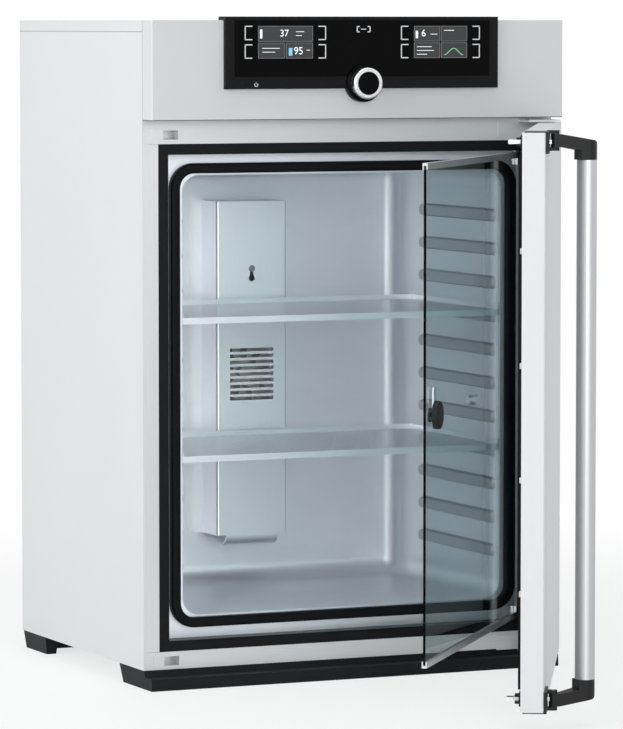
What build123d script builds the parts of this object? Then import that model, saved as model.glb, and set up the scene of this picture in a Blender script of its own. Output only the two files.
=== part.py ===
from build123d import *
import math
import os

os.makedirs("parts", exist_ok=True)

# A bench carbon dioxide incubator with its outer door, bar handle and inner glass door standing open.
# Millimetres, +Z up, the doors face -Y. The origin is the centre of the front plinth's underside.

# Cabinet
cabinet_width = 719.0
cabinet_depth = 541.0
plinth_height = 29.0
cabinet_height = 1025.0
sheet = 1.5
face_y = -26.0
cover_skirt = 18.0

# Front plinth and rear feet
plinth_depth = 120.0
plinth_lip = 27.0
plinth_step = 19.0
plinth_splay = 17.0
foot_length = 140.0
rear_foot_depth = 102.0
rear_foot_width = 24.0
rear_foot_draft = 7.0
crossbar_lift = 5.0
crossbar_depth = 40.0

# Opening in the front frame and the black thermal break round it
opening_half_width = 332.6
opening_bottom = 57.0
opening_top = 860.0
break_width = 17.0
break_thickness = 3.0
recess_depth = 30.0
rail_seam = 0.4

# Chamber
chamber_width = 560.0
chamber_height = 700.0
chamber_depth = 397.0
chamber_bottom = 109.5
chamber_radius = 28.0
liner_sheet = 1.5
rib_count = 11
rib_pitch = 55.1
rib_first = 75.6
rib_height = 21.7
rib_length = 274.0
rib_front = 14.0
rib_depth = 8.0
gasket_width = 16.0
gasket_side_margin = 7.0
gasket_end_margin = 3.0
gasket_radius = 24.0
gasket_gap = 0.3
insulation_rear = 52.0
heater_mat = 1.0

# Shelves
shelf_ribs = (4, 8)
shelf_sheet = 1.2
shelf_depth = 318.0
shelf_flange = 10.0
shelf_rim = 9.0
shelf_gap = 0.3
shelf_side_gap = 1.5

# Fan cover, fan and chamber fittings
cover_width = 127.0
cover_centre = -14.0
cover_bottom = 193.0
cover_top = 752.6
cover_sheet = 1.2
cover_standoff = 62.0
tongue_width = 95.0
tongue_radius = 18.0
louvre_count = 9
louvre_pitch = 10.2
louvre_height = 5.8
louvre_width = 79.0
fan_z = 463.0
fan_radius = 52.0
fan_width = 30.0
fan_blades = 9
fan_shaft = 8.0
motor_diameter = 74.0
motor_length = 42.0
screw_z = 640.0
keyhole_drop = 16.0
keyhole_diameter = 11.0
screw_head = 11.0
screw_shank = 5.0
running_fit = 0.05
port_y = 92.5
port_z = 428.0
port_bore = 12.0
port_tube = 18.0
port_knob = 17.0
port_plug_length = 45.0

# Fascia and control panel
fascia_projection = 40.0
fascia_bottom = 897.3
fascia_gap = 1.5
panel_width = 476.0
panel_bottom = 946.0
panel_rise = 5.7
panel_proud = 8.5
panel_back = 20.0
glass_width = 446.0
glass_bottom = 965.0
glass_thickness = 1.2
display_width = 98.0
display_height = 54.8
display_centre = 135.5
display_bottom = 992.0
knob_z = 954.3
knob_outer = 50.0
knob_inner = 37.0
knob_length = 14.0
boss_diameter = 60.0
boss_length = 5.0
button_travel = 2.0
power_x = -186.2
power_width = 34.5
power_height = 12.0
power_travel = 1.2

# Outer door
door_open = 60.8
hinge_x = 346.93
hinge_forward = 23.02
door_hinge_edge = -12.6
door_free_edge = 706.5
door_outer_skin = 17.1
door_inner_skin = 18.0
door_bottom = 28.0
door_top = 888.6
door_sheet = 1.2
door_corner = 3.0
hinge_pin = 8.0
bracket_sheet = 1.2
bracket_width = 97.0
bracket_reach = 35.0
bracket_height = 24.0
bracket_arm = 4.0
bracket_gap = 0.9
seal_width = 16.0
seal_height = 4.7
cap_width = 66.0
cap_thickness = 4.0
cap_height = 31.0

# Handle and hooks
pivot_u = 656.0
pivot_out = 28.9
barrel_diameter = 13.0
pivot_pin = 5.0
ear_height = 5.0
hub_height = 20.0
ear_gap = 0.25
barrel_offset = 417.8
arm_height = 18.8
arm_width = 16.0
arm_fall = 10.0
tube_diameter = 30.0
tube_out = 75.5
tube_offset = 24.0
tube_half_length = 388.7
tube_wall = 2.0
hook_thickness = 6.0
hook_width = 8.0
hook_reach = 40.0
hook_nose = 7.0
hook_nose_length = 10.0
hook_offset = 415.8
guide_width = 32.0
guide_height = 20.0
guide_tip_width = 22.0
guide_tip_height = 12.5
guide_reach = 10.0
guide_gap = 0.3
guide_play = 0.5
slot_height = 7.5
slot_width = 27.0
guide_shift = 3.0
keeper_play = 1.75
keeper_width = 84.0
keeper_height = 20.0
cup_depth = 20.0
cup_play = 4.0
cap_lip = 1.5
plug_diameter = 10.0
plug_proud = 3.0
plug_pitch = 170.0
plug_margin = 16.0
bush_diameter = 14.0
panel_margin = 10.0

# Inner glass door
glass_open = 50.5
glass_hinge_x = 301.56
glass_hinge_back = 14.92
pane_thickness = 4.0
pane_hinge_edge = -1.6
channel_hinge_edge = -12.0
pane_free_edge = 613.5
pane_bottom = 76.5
pane_top = 840.0
channel_height = 10.0
channel_web = 4.0
channel_thickness = 8.0
clamp_height = 10.0
clamp_width = 13.0
clamp_thickness = 12.0
glass_pin = 4.0
latch_u = 576.0
latch_z = 458.0
latch_disc = 43.0
latch_disc_depth = 9.2
latch_shaft = 8.0
latch_washer = 22.0
tongue_gap = 2.3
tongue_thickness = 2.5
tongue_flat = 16.0
tongue_reach = 42.6

# Rear services
slip = 0.1
nozzle_z = 925.0
nozzle_x = 180.0
nozzle_diameter = 8.0
nozzle_length = 22.0
inlet_x = -220.0
inlet_z = 925.0
inlet_width = 48.0
inlet_height = 28.0
inlet_depth = 24.0

port_hole = port_tube + 0.2
half_width = cabinet_width / 2
inner_half = half_width - sheet
rear_y = face_y + cabinet_depth
base_z = plinth_height
top_z = plinth_height + cabinet_height
cover_seam = top_z - cover_skirt
flange_y = face_y + recess_depth
liner_half = chamber_width / 2
chamber_top = chamber_bottom + chamber_height
chamber_mid = chamber_bottom + chamber_height / 2
chamber_rear = flange_y + chamber_depth
recess_half = opening_half_width - break_width
recess_bottom = opening_bottom + break_width
recess_top = opening_top - break_width
opening_mid = (opening_bottom + opening_top) / 2
fascia_y = face_y - fascia_projection
panel_y = fascia_y - panel_proud
panel_top = top_z + panel_rise
hinge_y = face_y - hinge_forward
door_middle = (door_bottom + door_top) / 2


def front_plane(y):
    """An upright plane across the cabinet: sketch X is +X, sketch Y is +Z, extrusion goes forward."""
    return Plane(origin=(0, y, 0), x_dir=(1, 0, 0), z_dir=(0, -1, 0))


def side_plane(x):
    """A plane square to X: sketch X is +Y, sketch Y is +Z, extrusion goes to +X."""
    return Plane(origin=(x, 0, 0), x_dir=(0, 1, 0), z_dir=(1, 0, 0))


def leaf_planes(x, y, angle):
    """The plan plane and the face plane of a leaf hinged at x, y and opened by an angle.

    Plan: X runs from the hinge to the free edge, Y is the leaf's outer side, Z is up.
    Face: X runs the same way, Y is up, extrusion goes to the leaf's inner side.
    """
    turn = math.radians(angle)
    along = (-math.cos(turn), -math.sin(turn), 0)
    inward = (-math.sin(turn), math.cos(turn), 0)
    plan = Plane(origin=(x, y, 0), x_dir=along, z_dir=(0, 0, 1))
    face = Plane(origin=(x, y, 0), x_dir=along, z_dir=inward)
    return plan, face


def save(piece, name):
    """Label a finished piece and write it under its own name."""
    piece.part.label = name
    export_step(piece.part, "parts/" + name + ".step")


door_plan, door_face = leaf_planes(hinge_x, hinge_y, door_open)
glass_hinge_y = face_y + glass_hinge_back
glass_plan, glass_face = leaf_planes(glass_hinge_x, glass_hinge_y, glass_open)

# Side panels: folded sheets with a return behind the front frame and one inside the rear panel
panel_return = 12.0
for name, side in (("left_side_panel", -1), ("right_side_panel", 1)):
    with BuildPart() as side_panel:
        with BuildSketch(Plane.XY.offset(base_z)):
            with BuildLine():
                Polyline(
                    (side * half_width, face_y),
                    (side * half_width, rear_y),
                    (side * (inner_half - panel_return), rear_y),
                    (side * (inner_half - panel_return), rear_y - sheet),
                    (side * inner_half, rear_y - sheet),
                    (side * inner_half, face_y + 2 * sheet),
                    (side * (inner_half - panel_return), face_y + 2 * sheet),
                    (side * (inner_half - panel_return), face_y + sheet),
                    (side * inner_half, face_y + sheet),
                    (side * inner_half, face_y),
                    close=True,
                )
            make_face()
        extrude(amount=cover_seam - base_z)
        if side > 0:
            with BuildSketch(side_plane(half_width)):
                with Locations((port_y, port_z)):
                    Circle(port_hole / 2)
            extrude(amount=-2 * sheet, mode=Mode.SUBTRACT)
    save(side_panel, name)

# Top cover: a shallow tray turned over the side panels, open to the fascia in front
with BuildPart() as top_cover:
    with BuildSketch(Plane.XY.offset(top_z)):
        with Locations((0, (face_y + rear_y) / 2)):
            Rectangle(cabinet_width, cabinet_depth)
    extrude(amount=-cover_skirt)
    fillet(top_cover.edges().filter_by(Axis.Y).group_by(Axis.Z)[-1], radius=2.0)
    with BuildSketch(Plane.XY.offset(top_z - sheet)):
        with Locations((0, (face_y + rear_y) / 2)):
            Rectangle(cabinet_width - 2 * sheet, cabinet_depth - 2 * sheet)
    extrude(amount=-cover_skirt, mode=Mode.SUBTRACT)
save(top_cover, "top_cover")

# Rear panel with rows of cooling slots behind the control compartment
vent_length = 60.0
vent_height = 4.0
floor_z = fascia_bottom
vent_z = (floor_z + cover_seam) / 2
with BuildPart() as rear_panel:
    with BuildSketch(front_plane(rear_y - sheet)):
        with Locations((0, (base_z + cover_seam) / 2)):
            Rectangle(2 * inner_half, cover_seam - base_z)
        with Locations((0, vent_z)):
            with GridLocations(vent_length * 1.3, vent_height * 2.5, 2, 7):
                SlotOverall(vent_length, vent_height, mode=Mode.SUBTRACT)
        with Locations((nozzle_x, nozzle_z)):
            Circle(nozzle_diameter / 2 + slip, mode=Mode.SUBTRACT)
        with Locations((inlet_x, inlet_z)):
            Rectangle(inlet_width + 2 * slip, inlet_height + 2 * slip, mode=Mode.SUBTRACT)
    extrude(amount=sheet)
save(rear_panel, "rear_panel")

# Bottom pan under the insulation
with BuildPart() as bottom_pan:
    with BuildSketch(Plane.XY.offset(base_z)):
        with Locations((0, (face_y + rear_y) / 2)):
            Rectangle(2 * inner_half, cabinet_depth - 4 * sheet)
    extrude(amount=sheet)
save(bottom_pan, "bottom_pan")

# Front frame: a head plate that also carries the fascia, a bottom rail and two stiles between them
keeper_x = hinge_x - (pivot_u + guide_shift)
keeper_slot_width = guide_tip_width + 2 * keeper_play
keeper_slot_height = guide_tip_height + keeper_play
hook_heights = (door_middle + hook_offset, door_middle - hook_offset)
guide_base = hinge_forward - door_inner_skin - bracket_sheet - guide_gap
guide_nose_width = keeper_slot_width - 2 * guide_play
guide_nose_height = keeper_slot_height - 2 * guide_play
with BuildPart() as frame_rails:
    with BuildSketch(front_plane(face_y)):
        with Locations((0, (opening_top + cover_seam) / 2)):
            Rectangle(2 * inner_half, cover_seam - opening_top)
        with Locations((0, (panel_bottom + cover_seam) / 2)):
            Rectangle(panel_width, cover_seam - panel_bottom - 4 * panel_return, mode=Mode.SUBTRACT)
        with Locations((keeper_x, hook_heights[0])):
            Rectangle(keeper_slot_width, keeper_slot_height, mode=Mode.SUBTRACT)
    extrude(amount=-sheet)
    with BuildSketch(front_plane(face_y)):
        with Locations((0, (base_z + opening_bottom) / 2)):
            Rectangle(2 * inner_half, opening_bottom - base_z)
        with Locations((keeper_x, hook_heights[1])):
            Rectangle(keeper_slot_width, keeper_slot_height, mode=Mode.SUBTRACT)
    extrude(amount=-sheet)
save(frame_rails, "frame_rails")

stile_width = inner_half - opening_half_width
stile_x = opening_half_width + stile_width / 2
with BuildPart() as frame_stiles:
    with BuildSketch(front_plane(face_y)):
        with Locations((-stile_x, opening_mid), (stile_x, opening_mid)):
            Rectangle(stile_width, opening_top - opening_bottom - 2 * rail_seam)
    extrude(amount=-sheet)
save(frame_stiles, "frame_stiles")

# Thermal break: four black L-section lengths, mitred at the corners, that line the door recess
opening_height = opening_top - opening_bottom
recess_height = recess_top - recess_bottom
mitre_gap = 0.3
latch_plane_y = glass_hinge_y - (pane_thickness / 2 + tongue_gap + tongue_thickness / 2)
tongue_slot = 2 * tongue_flat
with BuildPart() as thermal_frame:
    with BuildSketch(front_plane(face_y)):
        with Locations((0, opening_mid)):
            Rectangle(2 * opening_half_width, opening_height)
            Rectangle(2 * recess_half, recess_height, mode=Mode.SUBTRACT)
    extrude(amount=-break_thickness)
    with BuildSketch(front_plane(face_y)):
        with Locations((0, opening_mid)):
            Rectangle(2 * (recess_half + break_thickness), recess_height + 2 * break_thickness)
            Rectangle(2 * recess_half, recess_height, mode=Mode.SUBTRACT)
    extrude(amount=-recess_depth)
    with BuildSketch(front_plane(face_y)):
        for corner_x, corner_z in (
            (-recess_half, recess_bottom),
            (recess_half, recess_bottom),
            (-recess_half, recess_top),
            (recess_half, recess_top),
        ):
            tilt = math.copysign(45, corner_x * (corner_z - opening_mid))
            with Locations(Location((corner_x, corner_z), tilt)):
                Rectangle(4 * break_width, mitre_gap)
    extrude(amount=-recess_depth, mode=Mode.SUBTRACT)
    with BuildSketch(side_plane(-recess_half)):
        with Locations((latch_plane_y, latch_z)):
            Rectangle(3 * tongue_thickness, tongue_slot)
    extrude(amount=-break_thickness, mode=Mode.SUBTRACT)
    with BuildSketch(Plane.XY.offset(recess_bottom - break_thickness)):
        with Locations((glass_hinge_x, glass_hinge_y)):
            Circle(glass_pin / 2 + slip)
    extrude(amount=recess_height + 2 * break_thickness, mode=Mode.SUBTRACT)
save(thermal_frame, "thermal_frame")

# Chamber liner: a deep-drawn stainless box with large corner radii, a front flange and pressed
# shelf ribs. Each rib is hollow behind, because the sheet keeps its thickness round it.
rib_taper = 20
rib_y = flange_y + rib_front + rib_length / 2
rib_heights = [chamber_bottom + rib_first + i * rib_pitch for i in range(rib_count)]
with BuildPart() as rib_forms:
    with BuildSketch(side_plane(-liner_half)):
        with Locations(*[(rib_y, z) for z in rib_heights]):
            SlotOverall(rib_length, rib_height)
    extrude(amount=rib_depth, taper=rib_taper)
    mirror(about=Plane.YZ)

pocket_length = rib_length - 4 * liner_sheet
pocket_height = rib_height - 4 * liner_sheet
with BuildPart() as rib_pockets:
    with BuildSketch(side_plane(-liner_half - liner_sheet)):
        with Locations(*[(rib_y, z) for z in rib_heights]):
            SlotOverall(pocket_length, pocket_height)
    extrude(amount=rib_depth, taper=rib_taper)
    mirror(about=Plane.YZ)

with BuildPart() as cavity:
    with BuildSketch(front_plane(flange_y)):
        with Locations((0, chamber_mid)):
            RectangleRounded(chamber_width, chamber_height, chamber_radius)
    extrude(amount=-chamber_depth)
    fillet(cavity.faces().sort_by(Axis.Y)[-1].edges(), radius=chamber_radius * 0.98)
    add(rib_forms.part, mode=Mode.SUBTRACT)

shaft_hole = fan_shaft + 3.0
with BuildPart() as chamber_liner:
    with BuildSketch(front_plane(flange_y)):
        with Locations((0, chamber_mid)):
            RectangleRounded(
                chamber_width + 2 * liner_sheet,
                chamber_height + 2 * liner_sheet,
                chamber_radius + liner_sheet,
            )
    extrude(amount=-(chamber_depth + liner_sheet))
    fillet(chamber_liner.faces().sort_by(Axis.Y)[-1].edges(), radius=chamber_radius)
    with BuildSketch(front_plane(flange_y)):
        with Locations((0, opening_mid)):
            Rectangle(2 * (recess_half + break_thickness), recess_height + 2 * break_thickness)
    extrude(amount=-liner_sheet)
    add(cavity.part, mode=Mode.SUBTRACT)
    add(rib_pockets.part, mode=Mode.SUBTRACT)
    with BuildSketch(side_plane(liner_half - liner_sheet)):
        with Locations((port_y, port_z)):
            Circle(port_hole / 2)
    extrude(amount=3 * liner_sheet, mode=Mode.SUBTRACT)
    with BuildSketch(front_plane(chamber_rear - liner_sheet)):
        with Locations((cover_centre, fan_z)):
            Circle(shaft_hole / 2)
    extrude(amount=-3 * liner_sheet, mode=Mode.SUBTRACT)
save(chamber_liner, "chamber_liner")

# Chamber gasket: a soft black ring on the flange, which the closed glass door all but touches
gasket_thickness = recess_depth - glass_hinge_back - pane_thickness / 2 - gasket_gap
gasket_inner_width = chamber_width + 2 * gasket_side_margin
gasket_inner_height = chamber_height + 2 * gasket_end_margin
with BuildPart() as chamber_gasket:
    with BuildSketch(front_plane(flange_y)):
        with Locations((0, chamber_mid)):
            RectangleRounded(
                gasket_inner_width + 2 * gasket_width,
                gasket_inner_height + 2 * gasket_width,
                gasket_radius + gasket_width,
            )
            RectangleRounded(gasket_inner_width, gasket_inner_height, gasket_radius, mode=Mode.SUBTRACT)
    extrude(amount=gasket_thickness)
    fillet(chamber_gasket.faces().sort_by(Axis.Y)[0].edges(), radius=gasket_width / 4)
save(chamber_gasket, "chamber_gasket")

# Insulation boards on five sides of the chamber, cut round the fan shaft and the access port
board_gap = 0.5
board_front = flange_y + liner_sheet
board_depth = chamber_rear + liner_sheet - board_front
board_y = board_front + board_depth / 2
side_board = inner_half - liner_half - liner_sheet - heater_mat
side_board_x = inner_half - side_board / 2
lower_board_top = chamber_bottom - liner_sheet - heater_mat
upper_board_bottom = chamber_top + liner_sheet + heater_mat
lower_board_bottom = base_z + sheet
with BuildPart() as insulation:
    with BuildSketch(Plane.XY.offset(lower_board_bottom)):
        with Locations((0, board_y)):
            Rectangle(2 * inner_half, board_depth)
    extrude(amount=lower_board_top - lower_board_bottom)
    with BuildSketch(Plane.XY.offset(upper_board_bottom)):
        with Locations((0, board_y)):
            Rectangle(2 * inner_half, board_depth)
    extrude(amount=floor_z - upper_board_bottom)
    with BuildSketch(Plane.XY.offset(lower_board_top + board_gap)):
        with Locations((-side_board_x, board_y), (side_board_x, board_y)):
            Rectangle(side_board, board_depth)
    extrude(amount=upper_board_bottom - lower_board_top - 2 * board_gap)
    with BuildSketch(Plane.XY.offset(lower_board_bottom)):
        with Locations((0, chamber_rear + liner_sheet + board_gap + insulation_rear / 2)):
            Rectangle(2 * inner_half, insulation_rear)
    extrude(amount=floor_z - lower_board_bottom)
    with BuildSketch(front_plane(chamber_rear)):
        with Locations((cover_centre, fan_z)):
            Circle(shaft_hole / 2)
    extrude(amount=-2 * insulation_rear, mode=Mode.SUBTRACT)
    with BuildSketch(side_plane(liner_half)):
        with Locations((port_y, port_z)):
            Circle(port_hole / 2)
    extrude(amount=2 * side_board, mode=Mode.SUBTRACT)
save(insulation, "insulation")

# Heater mats on the flats of the liner's sides, floor and ceiling
mat_depth = chamber_depth - 2 * chamber_radius - liner_sheet
mat_y = board_front + mat_depth / 2
mat_x = liner_half + liner_sheet + heater_mat / 2
with BuildPart() as heater_mats:
    with BuildSketch(Plane.XY.offset(chamber_mid)):
        with Locations((-mat_x, mat_y), (mat_x, mat_y)):
            Rectangle(heater_mat, mat_depth)
    extrude(amount=chamber_height / 2 - 2 * chamber_radius, both=True)
    with BuildSketch(Plane.XY.offset(lower_board_top), Plane.XY.offset(chamber_top + liner_sheet)):
        with Locations((0, mat_y)):
            Rectangle(chamber_width - 4 * chamber_radius, mat_depth)
    extrude(amount=heater_mat)
    with BuildSketch(side_plane(liner_half)):
        with Locations((port_y, port_z)):
            Circle(port_hole / 2)
    extrude(amount=4 * heater_mat, mode=Mode.SUBTRACT)
save(heater_mats, "heater_mats")

# Floor of the control compartment
with BuildPart() as compartment_floor:
    with BuildSketch(Plane.XY.offset(floor_z)):
        with Locations((0, (face_y + rear_y) / 2)):
            Rectangle(2 * inner_half, cabinet_depth - 4 * sheet)
    extrude(amount=sheet)
save(compartment_floor, "compartment_floor")

# Fan cover: a folded stainless channel on the rear wall with nine outlet slots, a keyhole for its
# screw and a tongue at its open foot that curls back to guide the return air
cover_y = chamber_rear - cover_standoff
with BuildPart() as fan_cover:
    with BuildSketch(Plane.XY.offset(cover_bottom)):
        with Locations((cover_centre, cover_y + cover_standoff / 2)):
            Rectangle(cover_width, cover_standoff)
    extrude(amount=cover_top - cover_bottom)
    fillet(fan_cover.edges().filter_by(Axis.Z).group_by(Axis.Y)[0], radius=3 * cover_sheet)
    with BuildSketch(Plane.XY.offset(cover_bottom)):
        with Locations((cover_centre, cover_y + cover_sheet + cover_standoff / 2)):
            Rectangle(cover_width - 2 * cover_sheet, cover_standoff)
    extrude(amount=cover_top - cover_bottom - cover_sheet, mode=Mode.SUBTRACT)
    with BuildSketch(front_plane(cover_y)):
        with Locations((cover_centre, fan_z)):
            with GridLocations(0, louvre_pitch, 1, louvre_count):
                Rectangle(louvre_width, louvre_height)
        with Locations((cover_centre, screw_z - keyhole_drop)):
            Circle(keyhole_diameter / 2)
        with Locations((cover_centre, screw_z - keyhole_drop / 2)):
            SlotOverall(keyhole_drop + screw_shank + 1, screw_shank + 1, rotation=90)
    extrude(amount=-2 * cover_sheet, mode=Mode.SUBTRACT)
    with BuildSketch(side_plane(cover_centre)):
        with BuildLine():
            curl = (cover_y + tongue_radius, cover_bottom)
            outer_curl = CenterArc(curl, tongue_radius, 180, 90)
            inner_curl = CenterArc(curl, tongue_radius - cover_sheet, 180, 90)
            Line(outer_curl @ 0, inner_curl @ 0)
            Line(outer_curl @ 1, inner_curl @ 1)
        make_face()
    extrude(amount=tongue_width / 2, both=True)
save(fan_cover, "fan_cover")

with BuildPart() as cover_screw:
    with BuildSketch(front_plane(chamber_rear)):
        with Locations((cover_centre, screw_z)):
            Circle(screw_shank / 2)
    extrude(amount=cover_standoff)
    with BuildSketch(front_plane(cover_y)):
        with Locations((cover_centre, screw_z)):
            Circle(screw_head / 2)
    extrude(amount=screw_shank / 2)
    fillet(cover_screw.edges().group_by(Axis.Y)[0], radius=1.0)
save(cover_screw, "cover_screw")

# Fan: a radial wheel with curved blades on a shaft that runs through the rear wall to its motor
wheel_back = chamber_rear - 10.0
motor_y = chamber_rear + liner_sheet + board_gap + insulation_rear
fan_front = Plane(origin=(cover_centre, wheel_back, fan_z), x_dir=(1, 0, 0), z_dir=(0, -1, 0))
fan_rear = Plane(origin=(cover_centre, motor_y, fan_z), x_dir=(1, 0, 0), z_dir=(0, -1, 0))
bore_depth = motor_length / 2
blade_sheet = 1.8
blade_root = Vector(fan_radius * 0.45, 0)
blade_belly = Vector(fan_radius * 0.75, fan_radius * 0.1)
blade_tip = Vector(fan_radius * 0.96, 0)
blade_arc = Edge.make_three_point_arc(blade_root, blade_belly, blade_tip)
with BuildPart() as fan_impeller:
    with BuildSketch(fan_front):
        Circle(fan_radius)
    extrude(amount=1.5)
    with BuildSketch(fan_front):
        Circle(fan_shaft)
    extrude(amount=fan_width / 2)
    with BuildSketch(fan_front):
        with PolarLocations(0, fan_blades):
            SlotArc(arc=blade_arc, height=blade_sheet)
    extrude(amount=fan_width)
    with BuildSketch(fan_front):
        Circle(fan_shaft / 2)
    extrude(amount=-(motor_y - wheel_back + bore_depth))
save(fan_impeller, "fan_impeller")


with BuildPart() as fan_motor:
    with BuildSketch(fan_rear):
        Circle(motor_diameter / 2)
    extrude(amount=-motor_length)
    with BuildSketch(fan_rear):
        Circle(fan_shaft / 2 + running_fit)
    extrude(amount=-(bore_depth + 1), mode=Mode.SUBTRACT)
    fillet(fan_motor.edges().group_by(Axis.Y)[-1], radius=4.0)
save(fan_motor, "fan_motor")

# Chamber fittings on the rear wall behind the fan cover
fitting_z = fan_z + fan_radius + 45.0
probe_x = cover_centre + 35.0
sensor_x = cover_centre - 35.0
with BuildPart() as temperature_probe:
    with BuildSketch(front_plane(chamber_rear)):
        with Locations((probe_x, fitting_z)):
            Circle(7.0)
    extrude(amount=6.0)
    with BuildSketch(front_plane(chamber_rear)):
        with Locations((probe_x, fitting_z)):
            Circle(3.0)
    extrude(amount=40.0)
save(temperature_probe, "temperature_probe")

with BuildPart() as co2_sensor:
    with BuildSketch(front_plane(chamber_rear)):
        with Locations((sensor_x, fitting_z)):
            Circle(12.0)
    extrude(amount=38.0)
    fillet(co2_sensor.edges().group_by(Axis.Y)[0], radius=3.0)
save(co2_sensor, "co2_sensor")

with BuildPart() as gas_injector:
    with BuildSketch(front_plane(chamber_rear)):
        with Locations((cover_centre, fitting_z + 30)):
            Circle(5.0)
            Circle(2.0, mode=Mode.SUBTRACT)
    extrude(amount=20.0)
save(gas_injector, "gas_injector")

# Access port: a sleeve through the right-hand wall with a stopper that is drawn into the chamber
port_flange = 1.5
with BuildPart() as access_port_tube:
    with BuildSketch(side_plane(liner_half)):
        with Locations((port_y, port_z)):
            Circle(port_tube / 2)
    extrude(amount=half_width - liner_half)
    with BuildSketch(side_plane(liner_half)):
        with Locations((port_y, port_z)):
            Circle(port_tube / 2 + 2)
    extrude(amount=-port_flange)
    with BuildSketch(side_plane(liner_half - port_flange)):
        with Locations((port_y, port_z)):
            Circle(port_bore / 2)
    extrude(amount=half_width - liner_half + port_flange, mode=Mode.SUBTRACT)
save(access_port_tube, "access_port_tube")

with BuildPart() as port_plug:
    with BuildSketch(side_plane(liner_half - port_flange - 0.3)):
        with Locations((port_y, port_z)):
            Circle(port_bore / 2 - running_fit)
    extrude(amount=port_plug_length)
    with BuildSketch(side_plane(liner_half - port_flange - 0.3)):
        with Locations((port_y, port_z)):
            Circle(port_knob / 2)
    extrude(amount=-port_knob * 0.8)
    fillet(port_plug.edges().group_by(Axis.X)[0], radius=2.0)
save(port_plug, "port_plug")

# Shelves: stainless trays that rest on the side ribs, turned down in front and up on three sides
shelf_width = chamber_width - 2 * shelf_side_gap
shelf_front = flange_y + 2.0
for name, rib in (("lower_shelf", shelf_ribs[0] - 1), ("upper_shelf", shelf_ribs[1] - 1)):
    shelf_z = rib_heights[rib] + rib_height / 2 + shelf_gap
    with BuildPart() as shelf:
        with BuildSketch(Plane.XY.offset(shelf_z)):
            with Locations((0, shelf_front + shelf_depth / 2)):
                Rectangle(shelf_width, shelf_depth)
        extrude(amount=shelf_rim)
        with BuildSketch(Plane.XY.offset(shelf_z + shelf_sheet)):
            with Locations((0, shelf_front + (shelf_depth - shelf_sheet) / 2)):
                Rectangle(shelf_width - 2 * shelf_sheet, shelf_depth - shelf_sheet)
        extrude(amount=shelf_rim, mode=Mode.SUBTRACT)
        with BuildSketch(front_plane(shelf_front)):
            with Locations((0, shelf_z + shelf_sheet - shelf_flange / 2)):
                Rectangle(shelf_width, shelf_flange)
        extrude(amount=-shelf_sheet)
    save(shelf, name)

# Fascia: a folded hood that stands forward over the doors, with a shadow gap round its back edge
fascia_height = top_z - fascia_bottom
fascia_mid = (top_z + fascia_bottom) / 2
window_z = (panel_bottom + top_z) / 2
fascia_return = 12.0
with BuildPart() as fascia:
    with BuildSketch(front_plane(fascia_y)):
        with Locations((0, fascia_mid)):
            Rectangle(cabinet_width, fascia_height)
    extrude(amount=-(fascia_projection - fascia_gap))
    fillet(fascia.edges().filter_by(Axis.Z).group_by(Axis.Y)[0], radius=2.0)
    with BuildSketch(front_plane(fascia_y + sheet)):
        with Locations((0, fascia_mid)):
            Rectangle(cabinet_width - 2 * sheet, fascia_height - 2 * sheet)
    extrude(amount=-fascia_projection, mode=Mode.SUBTRACT)
    with BuildSketch(front_plane(face_y)):
        with Locations((0, fascia_mid)):
            Rectangle(cabinet_width - 2 * sheet, fascia_height - 2 * sheet)
            Rectangle(
                cabinet_width - 2 * fascia_return,
                fascia_height - 2 * fascia_return,
                mode=Mode.SUBTRACT,
            )
    extrude(amount=2 * fascia_gap)
    with BuildSketch(front_plane(fascia_y)):
        with Locations((0, window_z)):
            Rectangle(panel_width, top_z - panel_bottom)
    extrude(amount=-panel_back, mode=Mode.SUBTRACT)
save(fascia, "fascia")

# Control panel: a black moulded housing with a lobe for the knob, a glass front over two displays
panel_mid = (panel_bottom + panel_top) / 2
glass_top = panel_top - panel_rise
glass_mid = (glass_bottom + glass_top) / 2
display_mid = display_bottom + display_height / 2
display_depth = 4.0
power_z = panel_bottom + power_height / 2 + 1
power_pocket = 6.0
housing_back = fascia_y + panel_back
with BuildPart() as panel_housing:
    with BuildSketch(front_plane(housing_back)):
        with Locations((0, panel_mid)):
            Rectangle(panel_width, panel_top - panel_bottom)
    extrude(amount=panel_back + panel_proud)
    with BuildSketch(front_plane(fascia_y)):
        with Locations((0, knob_z)):
            Circle(boss_diameter / 2)
    extrude(amount=panel_proud)
    with BuildSketch(front_plane(panel_y)):
        with Locations((0, glass_mid)):
            Rectangle(glass_width, glass_top - glass_bottom)
        with Locations((0, knob_z)):
            Circle(boss_diameter / 2, mode=Mode.SUBTRACT)
    extrude(amount=-glass_thickness, mode=Mode.SUBTRACT)
    with BuildSketch(front_plane(panel_y)):
        with Locations((-display_centre, display_mid), (display_centre, display_mid)):
            Rectangle(display_width, display_height)
    extrude(amount=-(glass_thickness + display_depth), mode=Mode.SUBTRACT)
    with BuildSketch(front_plane(panel_y)):
        with Locations((power_x, power_z)):
            Rectangle(power_width, power_height)
    extrude(amount=-power_pocket, mode=Mode.SUBTRACT)
save(panel_housing, "panel_housing")

with BuildPart() as panel_glass:
    with BuildSketch(front_plane(panel_y)):
        with Locations((0, glass_mid)):
            Rectangle(glass_width, glass_top - glass_bottom)
        with Locations((0, knob_z)):
            Circle(boss_diameter / 2, mode=Mode.SUBTRACT)
    extrude(amount=-glass_thickness)
save(panel_glass, "panel_glass")

with BuildPart() as displays:
    with BuildSketch(front_plane(panel_y + glass_thickness)):
        with Locations((-display_centre, display_mid), (display_centre, display_mid)):
            Rectangle(display_width, display_height)
    extrude(amount=-display_depth)
save(displays, "displays")

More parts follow.
